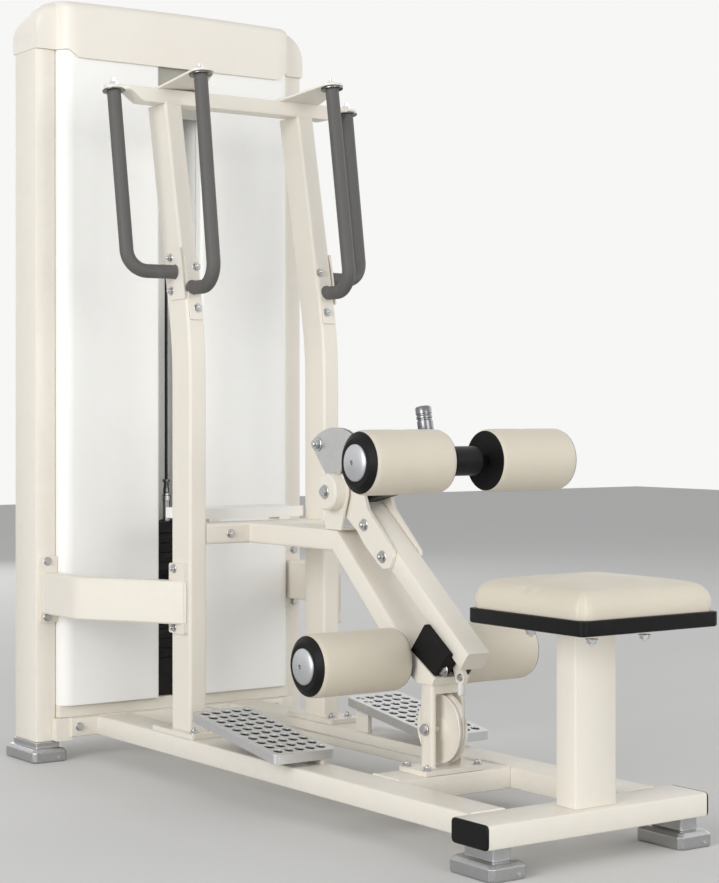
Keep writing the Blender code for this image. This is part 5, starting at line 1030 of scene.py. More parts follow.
@dataclass
class Uprights(Assembly):
    """Bent uprights, their top crossbar, braces, shelf and the bolts in them."""

    title = "uprights"
    front: float = 0.396
    depth: float = 0.090
    inner: float = 0.174
    width: float = 0.048
    kink: float = 1.075
    lean: float = math.radians(11.5)
    bar_front: float = 0.5176
    bar_depth: float = 0.060
    bar_bottom: float = 1.673
    bar_top: float = 1.710
    bar_tip: float = 0.0112
    bar_half: float = 0.375
    bar_sweep: float = 0.051
    bar_flat: float = 0.052
    bar_grip: float = 0.350
    bar_tip_run: float = 0.016
    seat_plate: float = 0.0042
    grip_seat_bolts: tuple = ((0.484, 1.285), (0.479, 1.203))
    grip_front_bolts: tuple = ((0.184, 1.262), (0.192, 1.159))
    base_bolts: tuple = ((0.178, 0.366, 0.1218), (0.228, 0.366, 0.1218))
    brace_heights: tuple = (0.517, 0.372)
    mid_bar_bolt: tuple = (0.105, 0.602)

    def build(self) -> None:
        """Make every piece of the uprights."""
        for side, _ in SIDES:
            self.refined(f"upright_{side}", CREAM, Body.FRAME, 0.0007, 20.0)
            self.refined(f"brace_{side}", CREAM, Body.FRAME, 0.0009, 24.0)
        self.crossbar()
        self.refined("shelf", GUARD_WHITE, Body.FRAME, 0.0010)
        self.grip_seats()
        self.fasteners()

    def crossbar(self) -> None:
        """Top crossbar: its ends thin on an S-curve and round off in plan; plates carry the grips.

        Along X the underside rises by half a cosine, and beyond the grip's centre the half depth
        is the root of a circle.
        """
        front, half_depth = self.bar_front + 0.0012, self.bar_depth / 2 - 0.0006
        low, high, tip = self.bar_bottom, self.bar_top, self.bar_tip
        start = self.bar_half - self.bar_flat - self.bar_sweep
        stop, grip_x = start + self.bar_sweep, self.bar_grip
        radius, narrowed = self.bar_half - grip_x, grip_x - self.bar_tip_run
        right = np.concatenate([[0.0, start * 0.5], np.linspace(start, stop, 18), [narrowed],
                                grip_x + radius * np.sin(np.linspace(0.0, math.pi / 2, 14))])
        x = np.concatenate([-right[::-1], right[1:]])
        share = np.clip((np.abs(x) - start) / self.bar_sweep, 0.0, 1.0)
        under = low + (high - tip - low) * (1 - np.cos(math.pi * share)) / 2
        narrow = np.clip((np.abs(x) - stop) / (narrowed - stop), 0.0, 1.0)
        depth = half_depth - (half_depth - radius) * narrow
        beyond = np.clip((np.abs(x) - grip_x) / radius, 0.0, 0.9995)
        depth = depth * np.sqrt(1 - beyond ** 2)
        middle = front + half_depth
        corner = np.minimum(np.minimum(0.003, (high - under) * 0.3), depth * 0.5)
        turn = np.linspace(0.0, math.pi / 2, 5)
        rows = []
        for side_y, side_z in ((-1, -1), (1, -1), (1, 1), (-1, 1)):
            order = turn if side_y * side_z > 0 else turn[::-1]
            for angle in order:
                y = middle + side_y * (depth - corner * (1 - np.cos(angle)))
                edge = under if side_z < 0 else np.full_like(x, high)
                rows.append(np.column_stack([x, y, edge - side_z * corner * (1 - np.sin(angle))]))
        bar = grid_mesh("top_crossbar_bar", np.stack(rows, axis=1), sharp=40.0)
        self.dress(bar, CREAM, Body.FRAME, "top_crossbar")
        for side, sign in SIDES:
            self.grip_plate(side, sign)
            self.upright_head(side, sign)

    def grip_plate(self, side: str, sign: float) -> None:
        """Sloping plate under an inner grip's disc, with a rounded tip and soft edges."""
        tip_x, tip_y, rise = 0.195, 0.390, 0.1905
        half, (left, right) = 0.0265, (0.118, 0.240)
        near, back = self.bar_front + 0.002, self.bar_front + 0.052
        corners = [(left, back), (right, back), (right, near), (tip_x + half, tip_y - 0.0262),
                   (tip_x - half, tip_y - 0.0262), (left, near)]
        outline = rounded_outline(corners, [0.002, 0.002, 0.03, 0.026, 0.026, 0.03], 10)
        lift = np.maximum(self.bar_front - outline[:, 1], 0.0) * rise
        low = np.column_stack([outline[:, 0] * sign, outline[:, 1], self.bar_top - 0.0015 + lift])
        plate = grid_mesh(f"grip_plate_{side}", np.stack([low, low + (0.0, 0.0, 0.0056)]),
                          sharp=30.0)
        bevel(plate, 0.0008)
        self.dress(plate, CREAM, Body.FRAME)

    def upright_head(self, side: str, sign: float) -> None:
        """Top of an upright, which runs up through the crossbar to its upper face."""
        x, half = sign * (self.inner + self.width / 2), self.width / 2
        outline = box_outline((x - half, 0.0), (x + half, 0.066), 0.006, 6)
        rings = [np.column_stack([outline + (0.0, self.face_y(z)), np.full(len(outline), z)])
                 for z in (self.bar_bottom - 0.0004, self.bar_top - 0.0012)]
        head = grid_mesh(f"upright_head_{side}", np.array(rings), sharp=30.0)
        bevel(head, 0.0007)
        self.dress(head, CREAM, Body.FRAME)

    def face_y(self, z: float | np.ndarray) -> float | np.ndarray:
        """Front face of an upright at a height above the bend."""
        centre = self.front + self.depth / 2 + (z - self.kink) * math.tan(self.lean)
        return centre - self.depth / 2 / math.cos(self.lean)

    def grip_seats(self) -> None:
        """Thin plates that the grips' lower ends are welded to, on two faces of each upright."""
        outer, thick = self.inner + self.width, self.seat_plate
        for side, sign in SIDES:
            corners = [(self.face_y(z) + shift, z) for z, shift in
                       ((1.180, -0.003), (1.180, 0.070), (1.310, 0.070), (1.310, -0.003))]
            low, high = sorted((sign * (outer + GAP), sign * (outer + thick)))
            plate = extruded(f"grip_side_plate_{side}", rounded_outline(corners, 0.006), low,
                             high, 0, 0.0006)
            self.dress(plate, CREAM, Body.FRAME)
            outline = box_outline((0.1785, 1.130), (0.2150, 1.288), 0.004)
            rings = [np.column_stack([outline[:, 0] * sign, self.face_y(outline[:, 1]) - depth,
                                      outline[:, 1]]) for depth in (GAP, thick)]
            plate = grid_mesh(f"grip_front_plate_{side}", np.array(rings), sharp=30.0)
            bevel(plate, 0.0006)
            self.dress(plate, CREAM, Body.FRAME)

    def fasteners(self) -> None:
        """Bolts of the handle seats, base plates, braces and shelf."""
        outer, plate, front = self.inner + self.width, self.seat_plate, self.front
        normal = np.array([0.0, -math.cos(self.lean), math.sin(self.lean)])
        mid_x, mid_z = self.mid_bar_bolt
        for name, places, pattern in (
                ("grip_seat", mirrored((outer + plate, y, z) for y, z in self.grip_seat_bolts),
                 Bolt(stud=0.004)),
                ("grip_front", mirrored([(x, self.face_y(z) - plate, z)
                                         for x, z in self.grip_front_bolts], normal),
                 Bolt(stud=0.003)),
                ("upright_base", mirrored(self.base_bolts, Z_AXIS), Bolt(stud=0.006)),
                ("brace_upright", mirrored((outer + 0.0125, 0.452, z) for z in self.brace_heights),
                 Bolt(stud=0.004)),
                ("brace_column", mirrored([(0.381, 0.8505, z) for z in self.brace_heights],
                                          -Y_AXIS), Bolt()),
                ("mid_bar", mirrored([(mid_x, front - 0.0002, mid_z)], -Y_AXIS),
                 Bolt(stud=0.003))):
            self.bolts(f"{name}_bolts", places, Body.FRAME, pattern)


@dataclass
class Grips(Assembly):
    """The four J-shaped grips, each with a bolting flange."""

    title = "grips"
    radius: float = 0.0172
    disc: float = 0.0283
    disc_thickness: float = 0.0042
    bend: float = 0.052
    flange_bolt: Bolt = Bolt(flat=0.0092, head=0.0080, washer=0.0135, stud=0.009)
    outer: tuple = ((0.350, 0.5476, 1.6985), (0.348, 0.478, 1.249), (0.2223, 0.462, 1.249))
    inner: tuple = ((0.195, 0.390, 1.732), (0.200, 0.313, 1.209), (0.200, 0.4220, 1.209))
    inner_axis: tuple = (0.0, 0.187, 0.982)
    bolt_rise: tuple = (0.0117, 0.0066)

    def build(self) -> None:
        """Make the four grips and their flange bolts."""
        seats = []
        for side, sign in SIDES:
            for kind, points, reference, axis, rise in (
                    ("outer", self.outer, Y_AXIS, Z_AXIS, self.bolt_rise[0]),
                    ("inner", self.inner, X_AXIS, np.array(self.inner_axis), self.bolt_rise[1])):
                corners = np.array(points) * (sign, 1.0, 1.0)
                self.grip(f"grip_{kind}_{side}", corners, reference, f"handle_{kind}_{side}")
                seats.append((corners[0] + rise * axis, axis))
        self.bolts("grip_top_bolts", seats, Body.FRAME, self.flange_bolt, CHROME)

    def grip(self, name: str, corners: np.ndarray, reference: np.ndarray, node: str) -> None:
        """A bar along a filleted path, with a turned flange and a fillet under it.

        Args:
            name: the piece's name.
            corners: top, bend and end of the bar.
            reference: a direction that the path never runs along.
            node: the CAD node that it replaces.
        """
        path = fillet_path(corners, self.bend, 20)
        top, down = path[0].copy(), path[1] - path[0]
        run = np.linalg.norm(down)
        down /= run
        start, thick = top + down * self.disc_thickness, self.disc_thickness
        straight = start + np.linspace(0.0, 1.0, 24)[:, None] * down * (run - thick)
        bar = swept(f"{name}_bar", np.concatenate([straight, path[2:]]), self.radius, reference,
                    36)
        disc = turned(f"{name}_flange",
                      [(0.0002, 0.0), (0.0002, self.disc - 0.0006), (0.0008, self.disc),
                       (thick - 0.0006, self.disc), (thick, self.disc - 0.0008), (thick, 0.0)],
                      top, down, 64, 28.0)
        self.dress(disc, DARK_STEEL, Body.FRAME)
        collar = turned(f"{name}_collar",
                        [(thick, 0.0), (thick, self.radius + 0.0022),
                         (thick + 0.0012, self.radius + 0.0012), (thick + 0.0030, self.radius),
                         (thick + 0.0030, 0.0)], top, down, 48)
        foot = corners[-1] - corners[-2]
        foot /= np.linalg.norm(foot)
        ring = turned(f"{name}_weld",
                      [(-0.006, self.radius - 0.001), (-0.004, self.radius + 0.0012),
                       (-0.0015, self.radius + 0.0020), (-0.0004, self.radius + 0.0016),
                       (-0.0004, self.radius - 0.001)], corners[-1], foot, 48)
        self.dress(merge(name, [bar, collar, ring]), GRIP_GREY, Body.FRAME, node)


@dataclass
class Spine(Assembly):
    """Spine tube, cable post, rest block and the bolts on them."""

    title = "spine and post"
    base_bolts: tuple = ((0.070, -0.365, 0.1210), (0.070, -0.289, 0.1210))
    axle: tuple = (0.0492, -0.327, 0.2035)

    def build(self) -> None:
        """Make every piece of the spine."""
        self.refined("spine", CREAM, Body.FRAME, 0.0008, 26.0)
        self.refined("cable_post", CREAM, Body.FRAME, 0.0012)
        self.refined("rest_block", RUBBER, Body.FRAME, 0.0030, 30.0, 3)
        self.bolts("post_base_bolts", mirrored(self.base_bolts, Z_AXIS), Body.FRAME,
                   Bolt(stud=0.004))
        self.bolts("post_axle_bolts", mirrored([self.axle]), Body.FRAME,
                   Bolt(flat=0.0085, washer=0.013))


@dataclass
class FootPlates(Assembly):
    """Perforated foot plates on their skirts."""

    title = "foot plates"
    inner: float = 0.142
    outer: float = 0.305
    nose: tuple = (-0.118, 0.1425)
    rear: tuple = (0.251, 0.1945)
    sheet: float = 0.004
    skirt: float = 0.022
    rows: int = 10
    columns: int = 5
    fill: float = 0.74
    border: float = 0.010
    corner: float = 0.014
    points: int = 24
    # Gap and thickness of the dark sheet of painted shadow under each plate.
    shadow_gap: float = 0.0012
    shadow_thickness: float = 0.002

    def build(self) -> None:
        """Make both plates and the dark sheets of painted shadow under them."""
        for side, sign in SIDES:
            self.plate(side, sign)
            self.painted_shadow(side, sign)

    def holes(self, near: float, far: float) -> list[bpy.types.Object]:
        """Oval cutters on a grid: each outline is an ellipse that fills its share of a cell."""
        front, rear = self.nose[0] + self.border, self.rear[0] - self.border
        across, along = (far - near) / self.columns, (rear - front) / self.rows
        angle = np.linspace(0.0, TURN, self.points, endpoint=False)
        oval = np.column_stack([np.cos(angle) * across, np.sin(angle) * along]) * self.fill / 2
        return [extruded("foot_hole", oval + (near + (column + 0.5) * across,
                                              front + (row + 0.5) * along),
                         -self.sheet - 0.001, 0.001, 2)
                for row in range(self.rows) for column in range(self.columns)]

    def plate(self, side: str, sign: float) -> None:
        """A shallow tray with round corners and oval holes, cut flat and then sloped."""
        (front, low), (rear, high) = self.nose, self.rear
        near, far = sorted((sign * self.inner, sign * self.outer))
        wall = self.sheet
        outside = box_outline((near, front), (far, rear), self.corner, 8)
        obj = extruded(f"foot_plate_{side}_tray", outside, -self.skirt, 0.0, 2)
        inside = box_outline((near + wall, front + wall), (far - wall, rear - wall),
                             self.corner - wall, 8)
        cutters = (extruded("foot_hollow", inside, -self.skirt - 0.002, -self.sheet, 2),
                   merge("foot_holes", self.holes(near + self.border, far - self.border)))
        for cutter in cutters:
            cut = obj.modifiers.new("Cut", "BOOLEAN")
            cut.operation, cut.object = "DIFFERENCE", cutter
            bake_modifiers(obj)
            bpy.data.objects.remove(cutter)
        points = read_points(obj)
        points[:, 2] += low + (high - low) * (points[:, 1] - front) / (rear - front)
        write_points(obj, points)
        shade(obj.data, 30.0)
        bevel(obj, 0.0007)
        self.dress(obj, CAST_ALUMINIUM, Body.FRAME, f"foot_plate_{side}")

    def painted_shadow(self, side: str, sign: float) -> None:
        """Dark sheet in the rubber finish just under a plate's sheet: painted shadow that the holes
        look down on.
        """
        (front, low), (rear, high) = self.nose, self.rear
        slope = (high - low) / (rear - front)
        start, stop = front + self.border, rear - self.border
        ends = np.array([start, stop])
        top = low + slope * (ends - front) - self.sheet - self.shadow_gap
        outline = np.concatenate([np.column_stack([ends, top - self.shadow_thickness]),
                                  np.column_stack([ends, top])[::-1]])
        near, far = sorted((sign * (self.inner + self.border), sign * (self.outer - self.border)))
        # The dark sheet stands in for the shadow inside the skirt.
        self.dress(extruded(f"foot_plate_painted_shadow_{side}", outline, near, far, 0), RUBBER, Body.FRAME)


@dataclass
class Seat(Assembly):
    """Seat post, rim and the padded cushion."""

    title = "seat"
    half_width: float = 0.182
    front: float = -0.998
    back: float = -0.645
    rim_top: float = 0.506
    edge_top: float = 0.546
    crown: float = 0.575
    corner: float = 0.030
    swell: float = 0.005
    voxel: float = 0.005
    start_inset: float = 0.0025
    overhang: float = 0.0022
    pleats: int = 3
    pleat: float = 0.0016
    post_bolts: tuple = ((-0.1245, -0.959), (0.0135, -0.959), (-0.1175, -0.770), (0.1175, -0.770))
    wall: tuple = ((-0.22, 0.010), (-0.22, 0.0), (0.12, -0.0015), (0.35, -0.002),
                   (0.62, -0.0005), (0.86, 0.0035), (1.06, 0.0095), (1.24, 0.0185),
                   (1.36, 0.0295), (1.42, 0.042))

    def build(self) -> None:
        """Make every piece of the seat."""
        self.refined("seat_post", CREAM, Body.FRAME, 0.0008)
        self.refined("seat_rim", MOULDED_BLACK, Body.FRAME, 0.0016, 30.0, 3)
        self.cushion()
        self.bolts("seat_plate_bolts", [((x, y, 0.4672), -Z_AXIS) for x, y in self.post_bolts],
                   Body.FRAME, Bolt(flat=0.0085, head=0.0070, washer=0.0125, stud=0.004))

    def cushion_grid(self, inset: float) -> np.ndarray:
        """Rings of the cushion: a rounded rectangle, drawn in at the side and domed on top.

        Each pair of the wall is a share of the side's height and how far the ring is drawn in.

        Args:
            inset: how far inside its finished place it starts.
        Returns:
            Points, shaped (rings, points, 3).
        """
        low, high = self.rim_top + GAP, self.edge_top
        rings = []
        for share, draw in self.wall:
            pull = draw + inset
            outline = box_outline((-self.half_width + pull, self.front + pull),
                                  (self.half_width - pull, self.back - pull),
                                  max(self.corner - pull, 0.006), 10)
            height = low + (high - low) * share - inset * share * 0.6
            rings.append(np.column_stack([outline, np.full(len(outline), height)]))
        centre = np.array([0.0, (self.front + self.back) / 2, 0.0])
        edge = rings[-1]
        peak = self.crown - inset
        for share in (0.8, 0.6, 0.4, 0.2):
            ring = centre + (edge - centre) * share
            ring[:, 2] = edge[0, 2] + (peak - edge[0, 2]) * (1 - share ** 2)
            rings.append(ring)
        return np.array(rings)

    def cushion(self) -> None:
        """Swell the cushion with Cloth, cap the movement and replace the CAD solid."""
        inset = self.start_inset
        obj = grid_mesh("seat_pad", self.cushion_grid(inset))
        remesh = obj.modifiers.new("Voxels", "REMESH")
        remesh.mode = "VOXEL"
        remesh.voxel_size = self.voxel
        bake_modifiers(obj)
        rest = read_points(obj)
        inflate(obj, rest, self.swell)
        smooth = obj.modifiers.new("Soften", "SUBSURF")
        smooth.levels = smooth.render_levels = 1
        bake_modifiers(obj)
        write_points(obj, self.gathered(read_points(obj)))
        obj.data.shade_smooth()
        self.dress(obj, VINYL, Body.FRAME, "seat_cushion")

    def gathered(self, points: np.ndarray) -> np.ndarray:
        """Gather the cover into small pleats round each corner, and keep it on its rim.

        Round a corner's centre a point moves out by a sine of its angle, faded in and out up the
        side by half a sine.

        Args:
            points: points of the swollen cushion.
        Returns:
            The moved points.
        """
        middle = np.array([0.0, (self.front + self.back) / 2])
        half = np.array([self.half_width, (self.back - self.front) / 2])
        offset = points[:, :2] - middle
        beyond = np.abs(offset) - (half - self.corner)
        corner = np.all(beyond > 0, axis=1)
        angle = np.arctan2(beyond[:, 1], beyond[:, 0])
        rise = (points[:, 2] - self.rim_top) / (self.crown - self.rim_top)
        fade = np.sin(math.pi * np.clip(rise / 0.9, 0.0, 1.0)) * np.sin(2 * angle) ** 2
        shift = np.where(corner, self.pleat * fade * np.sin(4 * self.pleats * angle), 0.0)
        way = np.sign(offset) * np.stack([np.cos(angle), np.sin(angle)], axis=1)
        moved = points.copy()
        moved[:, :2] += shift[:, None] * way
        limit = half + self.overhang
        moved[:, :2] = middle + np.clip(moved[:, :2] - middle, -limit, limit)
        moved[:, 2] = np.maximum(moved[:, 2], self.rim_top + GAP)
        return moved


@dataclass
class Lever(Assembly):
    """Hinged lever: pivot, head plates, beam, sleeve and the pull pin."""

    title = "lever"
    pivot_y: float = 0.010
    pivot_z: float = 0.717
    boss: float = 0.0853
    arm_rise: float = math.radians(12.5)
    axle: tuple = (-0.397, 0.796)
    pin_place: tuple = (0.1125, 0.025)
    pin_stem: tuple = ((-0.0035, 0.0), (-0.0035, 0.0036), (-0.0015, 0.005), (0.0523, 0.005))
    pin_knob: tuple = ((0.0523, 0.0178), (0.0563, 0.0182), (0.0578, 0.0170), (0.0588, 0.0150),
                       (0.0608, 0.0150), (0.0618, 0.0172), (0.0628, 0.0177), (0.0883, 0.0178),
                       (0.0893, 0.0170), (0.0903, 0.0156), (0.0928, 0.0156), (0.0938, 0.0174),
                       (0.0983, 0.0182), (0.0998, 0.0176), (0.1008, 0.0162), (0.1033, 0.0162),
                       (0.1043, 0.0180), (0.1178, 0.0182), (0.1208, 0.0165), (0.1221, 0.0120),
                       (0.1225, 0.0))
    plate_bolts: tuple = ((-0.087, 0.643), (-0.158, 0.574))
    beam_half: float = 0.0320
    plate_thickness: float = 0.010

    def build(self) -> None:
        """Make every piece of the lever and its pivot."""
        self.refined("pivot_bracket", CREAM, Body.FRAME, 0.0010, 30.0)
        self.refined("stop_quadrant", CAST_ALUMINIUM, Body.FRAME, 0.0005, 40.0)
        self.refined("lever_beam", CREAM, Body.LEVER, 0.0009)
        self.refined("arm_sleeve", FRAME_BLACK, Body.LEVER, 0.0009, 28.0)
        for side, _ in SIDES:
            self.refined(f"head_plate_{side}", CREAM, Body.LEVER, 0.0012, 26.0)
        self.refined("roller_carriage", FRAME_BLACK, Body.CARRIAGE, 0.0008, 34.0)
        self.shaft()
        self.pull_pin()
        self.fasteners()

    def shaft(self) -> None:
        """Pivot shaft: a turned bar held by a hexagon bolt and a broad washer at each end."""
        boss, place = self.boss, (0.0, self.pivot_y, self.pivot_z)
        core = turned("pivot_core", [(-boss, 0.0), (-boss, 0.0135), (boss, 0.0135), (boss, 0.0)],
                      place, X_AXIS, 48)
        head = Bolt(flat=0.0095, head=0.0075, washer=0.0165, washer_thickness=0.0026)
        ends = [head.build(f"pivot_head_{number}", seat, axis)
                for number, (seat, axis) in enumerate(mirrored([(boss, *place[1:])]))]
        bar = merge("pivot_shaft_bar", [core, *ends])
        shade(bar.data, 30.0)
        self.dress(bar, ZINC_STEEL, Body.FRAME, "pivot_shaft")

    def pull_pin(self) -> None:
        """Spring pin, square to the roller arm: a knob with turned grooves on a plain stem."""
        along, lift = self.pin_place
        back = np.array([0.0, math.cos(self.arm_rise), -math.sin(self.arm_rise)])
        up = np.array([0.0, math.sin(self.arm_rise), math.cos(self.arm_rise)])
        base = np.array([0.0, *self.axle]) + back * along + up * lift
        knob = turned("pull_pin_knob", self.pin_stem + self.pin_knob, base, up, 72)
        self.dress(knob, PIN_STEEL, Body.CARRIAGE_PIN, "pull_pin")

    def fasteners(self) -> None:
        """Bolts of the head plates, the quadrant, the beam's end and the cable lug."""
        face = self.beam_half + self.plate_thickness + 0.0001
        self.bolts("head_plate_bolts", mirrored((face, y, z) for y, z in self.plate_bolts),
                   Body.LEVER, Bolt(flat=0.009, washer=0.0145, stud=0.004))
        self.bolts("quadrant_bolt", [((-0.0592, 0.079, 0.827), -X_AXIS)], Body.FRAME,
                   Bolt(flat=0.0105, head=0.0085, washer=0.0170, washer_thickness=0.0024,
                        stud=0.004))
        self.bolts("beam_end_bolts", mirrored([(self.beam_half, -0.374, 0.338)]), Body.LEVER,
                   Bolt(flat=0.0088, head=0.007, washer=0.0142))
        self.bolts("cable_lug_bolt", mirrored([(0.0062, -0.400, 0.323)]), Body.LEVER,
                   Bolt(flat=0.006, head=0.004, washer=0.0085))


@dataclass
class Roller(Assembly):
    """One foam roller: grained sleeve, tapered end disc, domed hub and inner disc."""

    title = "rollers"
    name: str = "roller"
    side: float = 1.0
    outer: float = 0.2965
    centre: tuple = (-0.397, 0.796)
    body: Body = Body.UPPER_RIGHT
    inner: float = 0.064
    radius: float = 0.0695
    disc: float = 0.066
    end_ring: float = 0.0115
    ring_front: float = 0.052
    dome: float = 0.040
    dome_rise: float = 0.012
    rounding: float = 0.0115

    def build(self) -> None:
        """Make the foam, the discs and the dome."""
        centre = (0.0, *self.centre)
        axis = self.side * X_AXIS
        shoulder = self.outer - self.dome_rise - self.end_ring
        start = self.inner + 0.0016
        share = np.linspace(0.0, 1.0, 40)
        edge = np.minimum(share, 1 - share) * (shoulder - start)
        inward = np.maximum(1 - edge / self.rounding, 0.0)
        fall = 1 - np.sqrt(1 - inward ** 2)
        radius = self.radius + 0.0004 - fall * 0.0032 - 0.0006 * np.cos(share * TURN) ** 8
        along = start + share * (shoulder - start)
        profile = [(start, 0.030), *zip(along.tolist(), radius.tolist()), (shoulder, 0.030)]
        foam = turned(f"{self.name}_foam", profile, centre, axis, 96, 50.0)
        self.dress(foam, VINYL, self.body, self.name)
        face = self.outer - self.dome_rise
        cap = turned(f"{self.name}_end_disc",
                     [(shoulder + 0.0002, 0.030), (shoulder + 0.0002, self.disc - 0.001),
                      (shoulder + 0.0009, self.disc), (shoulder + 0.0018, self.disc - 0.0006),
                      (face - 0.0016, self.ring_front + 0.0012),
                      (face, self.ring_front - 0.0006), (face, self.dome + 0.0016),
                      (face - 0.0012, self.dome + 0.0006), (face - 0.0012, 0.030)],
                     centre, axis, 72, 28.0)
        self.dress(cap, MOULDED_BLACK, self.body, slot="upholstery")
        foot = face + 0.0006
        rise = self.dome_rise - 0.0016
        dome = [(face - 0.002, 0.0), (face - 0.002, self.dome - 0.0002), (foot, self.dome)]
        dome += [(foot + rise * math.sin(step), self.dome * math.cos(step))
                 for step in np.linspace(0.0, math.pi / 2, 12)[1:-2]]
        tip = self.outer - 0.0010
        dome += [(tip, 0.0088), (tip, 0.0056), (tip - 0.0008, 0.0050), (tip - 0.0075, 0.0042),
                 (tip - 0.0075, 0.0)]
        cover = turned(f"{self.name}_dome", dome, centre, axis, 64, 28.0)
        self.dress(cover, SATIN_STEEL, self.body, slot="upholstery")
        back = turned(f"{self.name}_inner_disc",
                      [(self.inner, 0.0135), (self.inner, self.disc - 0.0008),
                       (self.inner + 0.0005, self.disc - 0.0002), (self.inner + 0.0014, self.disc),
                       (self.inner + 0.0015, 0.030)],
                      centre, axis, 72, 28.0)
        self.dress(back, MOULDED_BLACK, self.body, slot="upholstery")


@dataclass
class Pulleys(Assembly):
    """The three cable pulleys."""

    title = "pulleys"

    def build(self) -> None:
        """Make the three pulleys."""
        for wheel in (
                ("post_pulley", 0.0775, 0.024, (0.0, -0.327, 0.2035), CREAM, Body.POST_WHEEL),
                ("base_pulley", 0.041, 0.016, (0.0, 0.9413, 0.167), MOULDED_BLACK,
                 Body.BASE_WHEEL),
                ("top_pulley", 0.041, 0.016, (0.0, 0.9413, 1.713), MOULDED_BLACK,
                 Body.TOP_WHEEL)):
            self.wheel(*wheel)

    def wheel(self, node: str, radius: float, width: float, centre: tuple, finish: Finish,
              body: Body) -> None:
        """A pulley: hub, dished web and a rim with a round-bottomed groove.

        Args:
            node: the CAD node that it replaces.
            radius: outer radius.
            width: width of the rim.
            centre: its middle.
            finish: its finish.
            body: the body that carries it.
        """
        half, web, groove, arc = width / 2, width * 0.375, 0.005, 0.0033
        side = [(half, 0.0068), (half, radius * 0.34), (half - 0.001, radius * 0.36),
                (web, radius * 0.41), (web, radius * 0.88), (half - 0.0012, radius * 0.95),
                (half, radius - 0.0015), (half - 0.0012, radius)]
        angle = np.linspace(math.pi * 0.06, math.pi * 0.94, 9)
        bottom = [(-arc * math.cos(step), radius - groove + arc * (1 - math.sin(step)))
                  for step in angle]
        profile = [(-along, size) for along, size in side] + bottom + side[::-1]
        wheel = turned(f"{node}_wheel", profile, centre, X_AXIS, 64, 35.0)
        self.dress(wheel, finish, body, node)


@dataclass
class Cable(Assembly):
    """The jacketed cable, its fittings, and the drop to the stack, built at one length though the
    real drop shortens as the stack rises.
    """

    title = "cable"
    radius: float = 0.0026
    drop_radius: float = 0.0040
    lift: float = 0.445
    stem_y: float = 0.902
    drop_ends: tuple = (0.7003, 1.7024)
    ferrule: tuple = ((0.684, 0.0), (0.684, 0.0085), (0.694, 0.0085), (0.700, 0.0066),
                      (0.7125, 0.0064), (0.7130, 0.0100), (0.7200, 0.0100), (0.7210, 0.0046),
                      (0.7210, 0.0))
    clevis: tuple = ((0.284, 0.0), (0.284, 0.0078), (0.288, 0.0086), (0.306, 0.0086),
                     (0.311, 0.0070), (0.313, 0.0))
    clevis_y: float = -0.3955

    def build(self) -> None:
        """Make the run along the base, the drop, the fittings and the stretch to the lever."""
        self.refined("main_cable", PALE_JACKET, Body.FRAME, 0.0, 60.0)
        stem, (low, high), size = (0.0, self.stem_y, 0.0), self.drop_ends, self.drop_radius
        drop = turned("cable_drop_run", [(low, 0.0), (low, size), (high, size), (high, 0.0)],
                      stem, Z_AXIS, 16)
        self.dress(drop, JACKET, Body.FRAME, "cable_drop")
        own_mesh(drop)
        self.dress(turned("stem_ferrule", self.ferrule, stem, Z_AXIS, 28), DARK_STEEL, Body.STACK)
        clevis = turned("lug_fitting", self.clevis, (0.0, self.clevis_y, 0.0), Z_AXIS, 28)
        self.dress(clevis, NYLON, Body.LEVER)
        self.reach()

    def reach(self) -> None:
        """The stretch between the post pulley and the lever, built at one length though it pays out
        as the lever rises.
        """
        start, end = np.array([0.0, -0.4028, 0.2770]), np.array([0.0, -0.3962, 0.2860])
        share = np.linspace(-0.15, 1.1, 72)[:, None]
        run = swept("cable_reach", start + share * (end - start), self.radius, X_AXIS, 12)
        self.dress(run, PALE_JACKET, None)
        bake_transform(run)


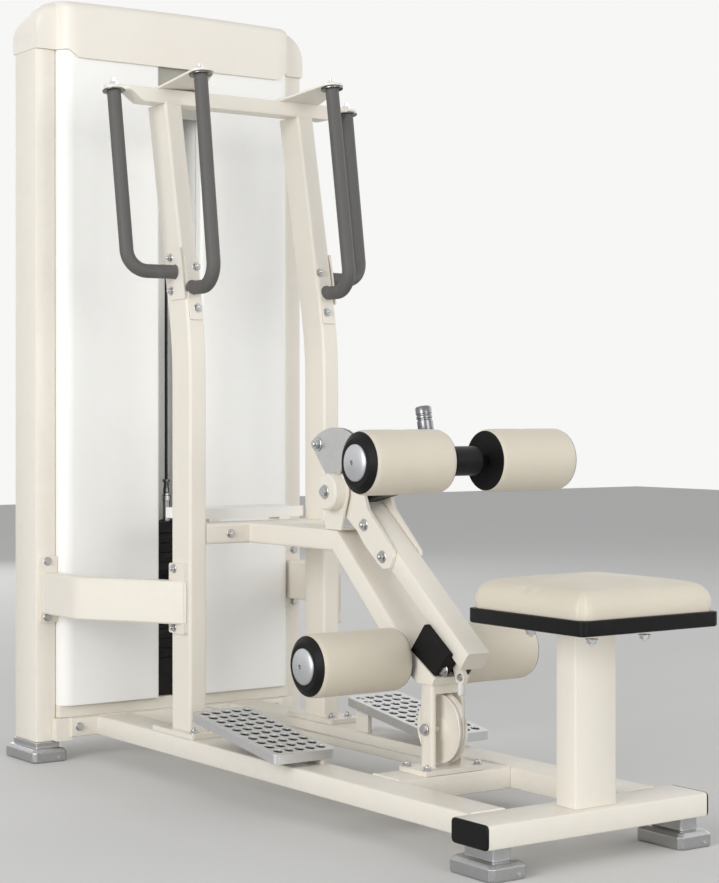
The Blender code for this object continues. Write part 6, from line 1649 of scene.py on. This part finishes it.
@dataclass
class Studio:
    """Floor, world, lamps and the camera at the photograph's angle."""

    sight: tuple = (-2.704, -3.840, 0.904)
    yaw: float = -0.6150
    dip: float = -0.0037
    lens: float = 81.54
    sensor: float = 36.0
    shift: tuple = (-0.00087, -0.02551)
    world_strength: float = 0.47
    backdrop: tuple = (0.93, 0.93, 0.92, 1.0)
    floor_half: float = 14.0
    floor_height: float = -0.0004
    lamps: tuple = (("key_lamp", (-7.5, -2.7, 2.9), (0.0, 0.1, 0.9), 4.2, 345.0),
                    ("front_lamp", (0.3, -8.2, 2.6), (0.0, 0.1, 0.9), 4.4, 212.0),
                    ("right_lamp", (6.5, -1.0, 2.6), (0.0, 0.1, 0.8), 4.2, 72.0),
                    ("back_lamp", (1.4, 6.8, 2.8), (0.0, 0.4, 0.9), 4.0, 66.0))
    floor_tones: tuple = ((0.68, 0.68, 0.675, 1.0), (0.70, 0.70, 0.695, 1.0))

    def build(self) -> None:
        """Set up the whole stage."""
        scene = bpy.context.scene
        scene.view_settings.view_transform = "Standard"
        self.camera(scene)
        self.world(scene)
        self.floor()
        for settings in self.lamps:
            self.lamp(*settings)

    def camera(self, scene: bpy.types.Scene) -> None:
        """Put the camera where the photograph was taken from."""
        data = bpy.data.cameras.new("photo_view")
        data.lens, data.sensor_width = self.lens, self.sensor
        data.shift_x, data.shift_y = self.shift
        camera = linked("photo_view", data)
        camera.location = self.sight
        camera.rotation_euler = (math.pi / 2 + self.dip, 0.0, self.yaw)
        scene.camera = camera

    def world(self, scene: bpy.types.Scene) -> None:
        """A plain world: soft light on the object, and a pale backdrop for the rays that see it."""
        world = bpy.data.worlds.new("studio_world")
        world.use_nodes = True
        nodes, graph = world.node_tree.nodes, Graph(world.node_tree)
        lit = graph.wire(nodes["Background"], {"Color": (1.0, 1.0, 1.0, 1.0),
                                               "Strength": self.world_strength})
        seen = graph.add("Background", {"Color": self.backdrop})
        rays = graph.add("LightPath").outputs
        first = graph.add("Math", {0: rays["Is Camera Ray"], 1: rays["Is Glossy Ray"]},
                          operation="ADD")
        total = graph.add("Math", {0: first.outputs["Value"], 1: rays["Is Transmission Ray"]},
                          operation="ADD", use_clamp=True)
        mix = graph.add("MixShader", {"Fac": total.outputs["Value"], 1: lit.outputs["Background"],
                                      2: seen.outputs["Background"]})
        graph.wire(nodes["World Output"], {"Surface": mix.outputs["Shader"]})
        scene.world = world

    def floor(self) -> None:
        """A wide pale floor that keeps the object's shadow."""
        size, low = self.floor_half, self.floor_height
        corners = np.array([[[-size, -size, low], [size, -size, low]],
                            [[-size, size, low], [size, size, low]]])
        obj = grid_mesh("studio_floor", corners, False, False)
        material = bpy.data.materials.new("studio_floor")
        material.use_nodes = True
        graph = Graph(material.node_tree)
        place = graph.add("TexCoord").outputs["Object"]
        noise = graph.add("TexNoise", {"Vector": place, "Scale": 2.0})
        dark, pale = self.floor_tones
        tone = graph.add("Mix", {"Factor": noise.outputs["Fac"], "A": dark, "B": pale},
                         data_type="RGBA")
        graph.wire(material.node_tree.nodes["Principled BSDF"],
                   {"Roughness": 0.9, "Base Color": tone.outputs["Result"]})
        obj.data.materials.append(material)

    def lamp(self, name: str, place: tuple, target: tuple, size: float, power: float) -> None:
        """One soft square lamp that faces a point.

        Args:
            name: its name.
            place: where it stands.
            target: the point that it faces.
            size: length of its side.
            power: its power in watts.
        """
        data = bpy.data.lights.new(name, "AREA")
        data.shape, data.size, data.energy = "SQUARE", size, power
        lamp = linked(name, data)
        lamp.location = place
        aim = np.asarray(target) - np.asarray(place)
        lamp.rotation_euler = (math.acos(-aim[2] / np.linalg.norm(aim)), 0.0,
                               math.atan2(aim[1], aim[0]) - math.pi / 2)


def rollers() -> list[Roller]:
    """One roller for each side of both axles."""
    bodies = {"left": (Body.UPPER_LEFT, Body.LOWER_LEFT),
              "right": (Body.UPPER_RIGHT, Body.LOWER_RIGHT)}
    places = (("upper", 0.2965, (-0.397, 0.796)), ("lower", 0.322, (-0.238, 0.352)))
    return [Roller(f"{level}_roller_{side}", sign, outer, centre, body)
            for side, sign in SIDES
            for (level, outer, centre), body in zip(places, bodies[side])]


def main() -> None:
    """Build every assembly."""
    logging.basicConfig(level=logging.INFO, format="%(name)s %(message)s")
    Studio().build()
    assemblies = [BaseFrame(), Tower(), WeightStack(), Uprights(), Grips(), Spine(), FootPlates(),
                  Seat(), Lever(), *rollers(), Pulleys(), Cable()]
    for assembly in assemblies:
        assembly.build()


if __name__ == "__main__":
    main()
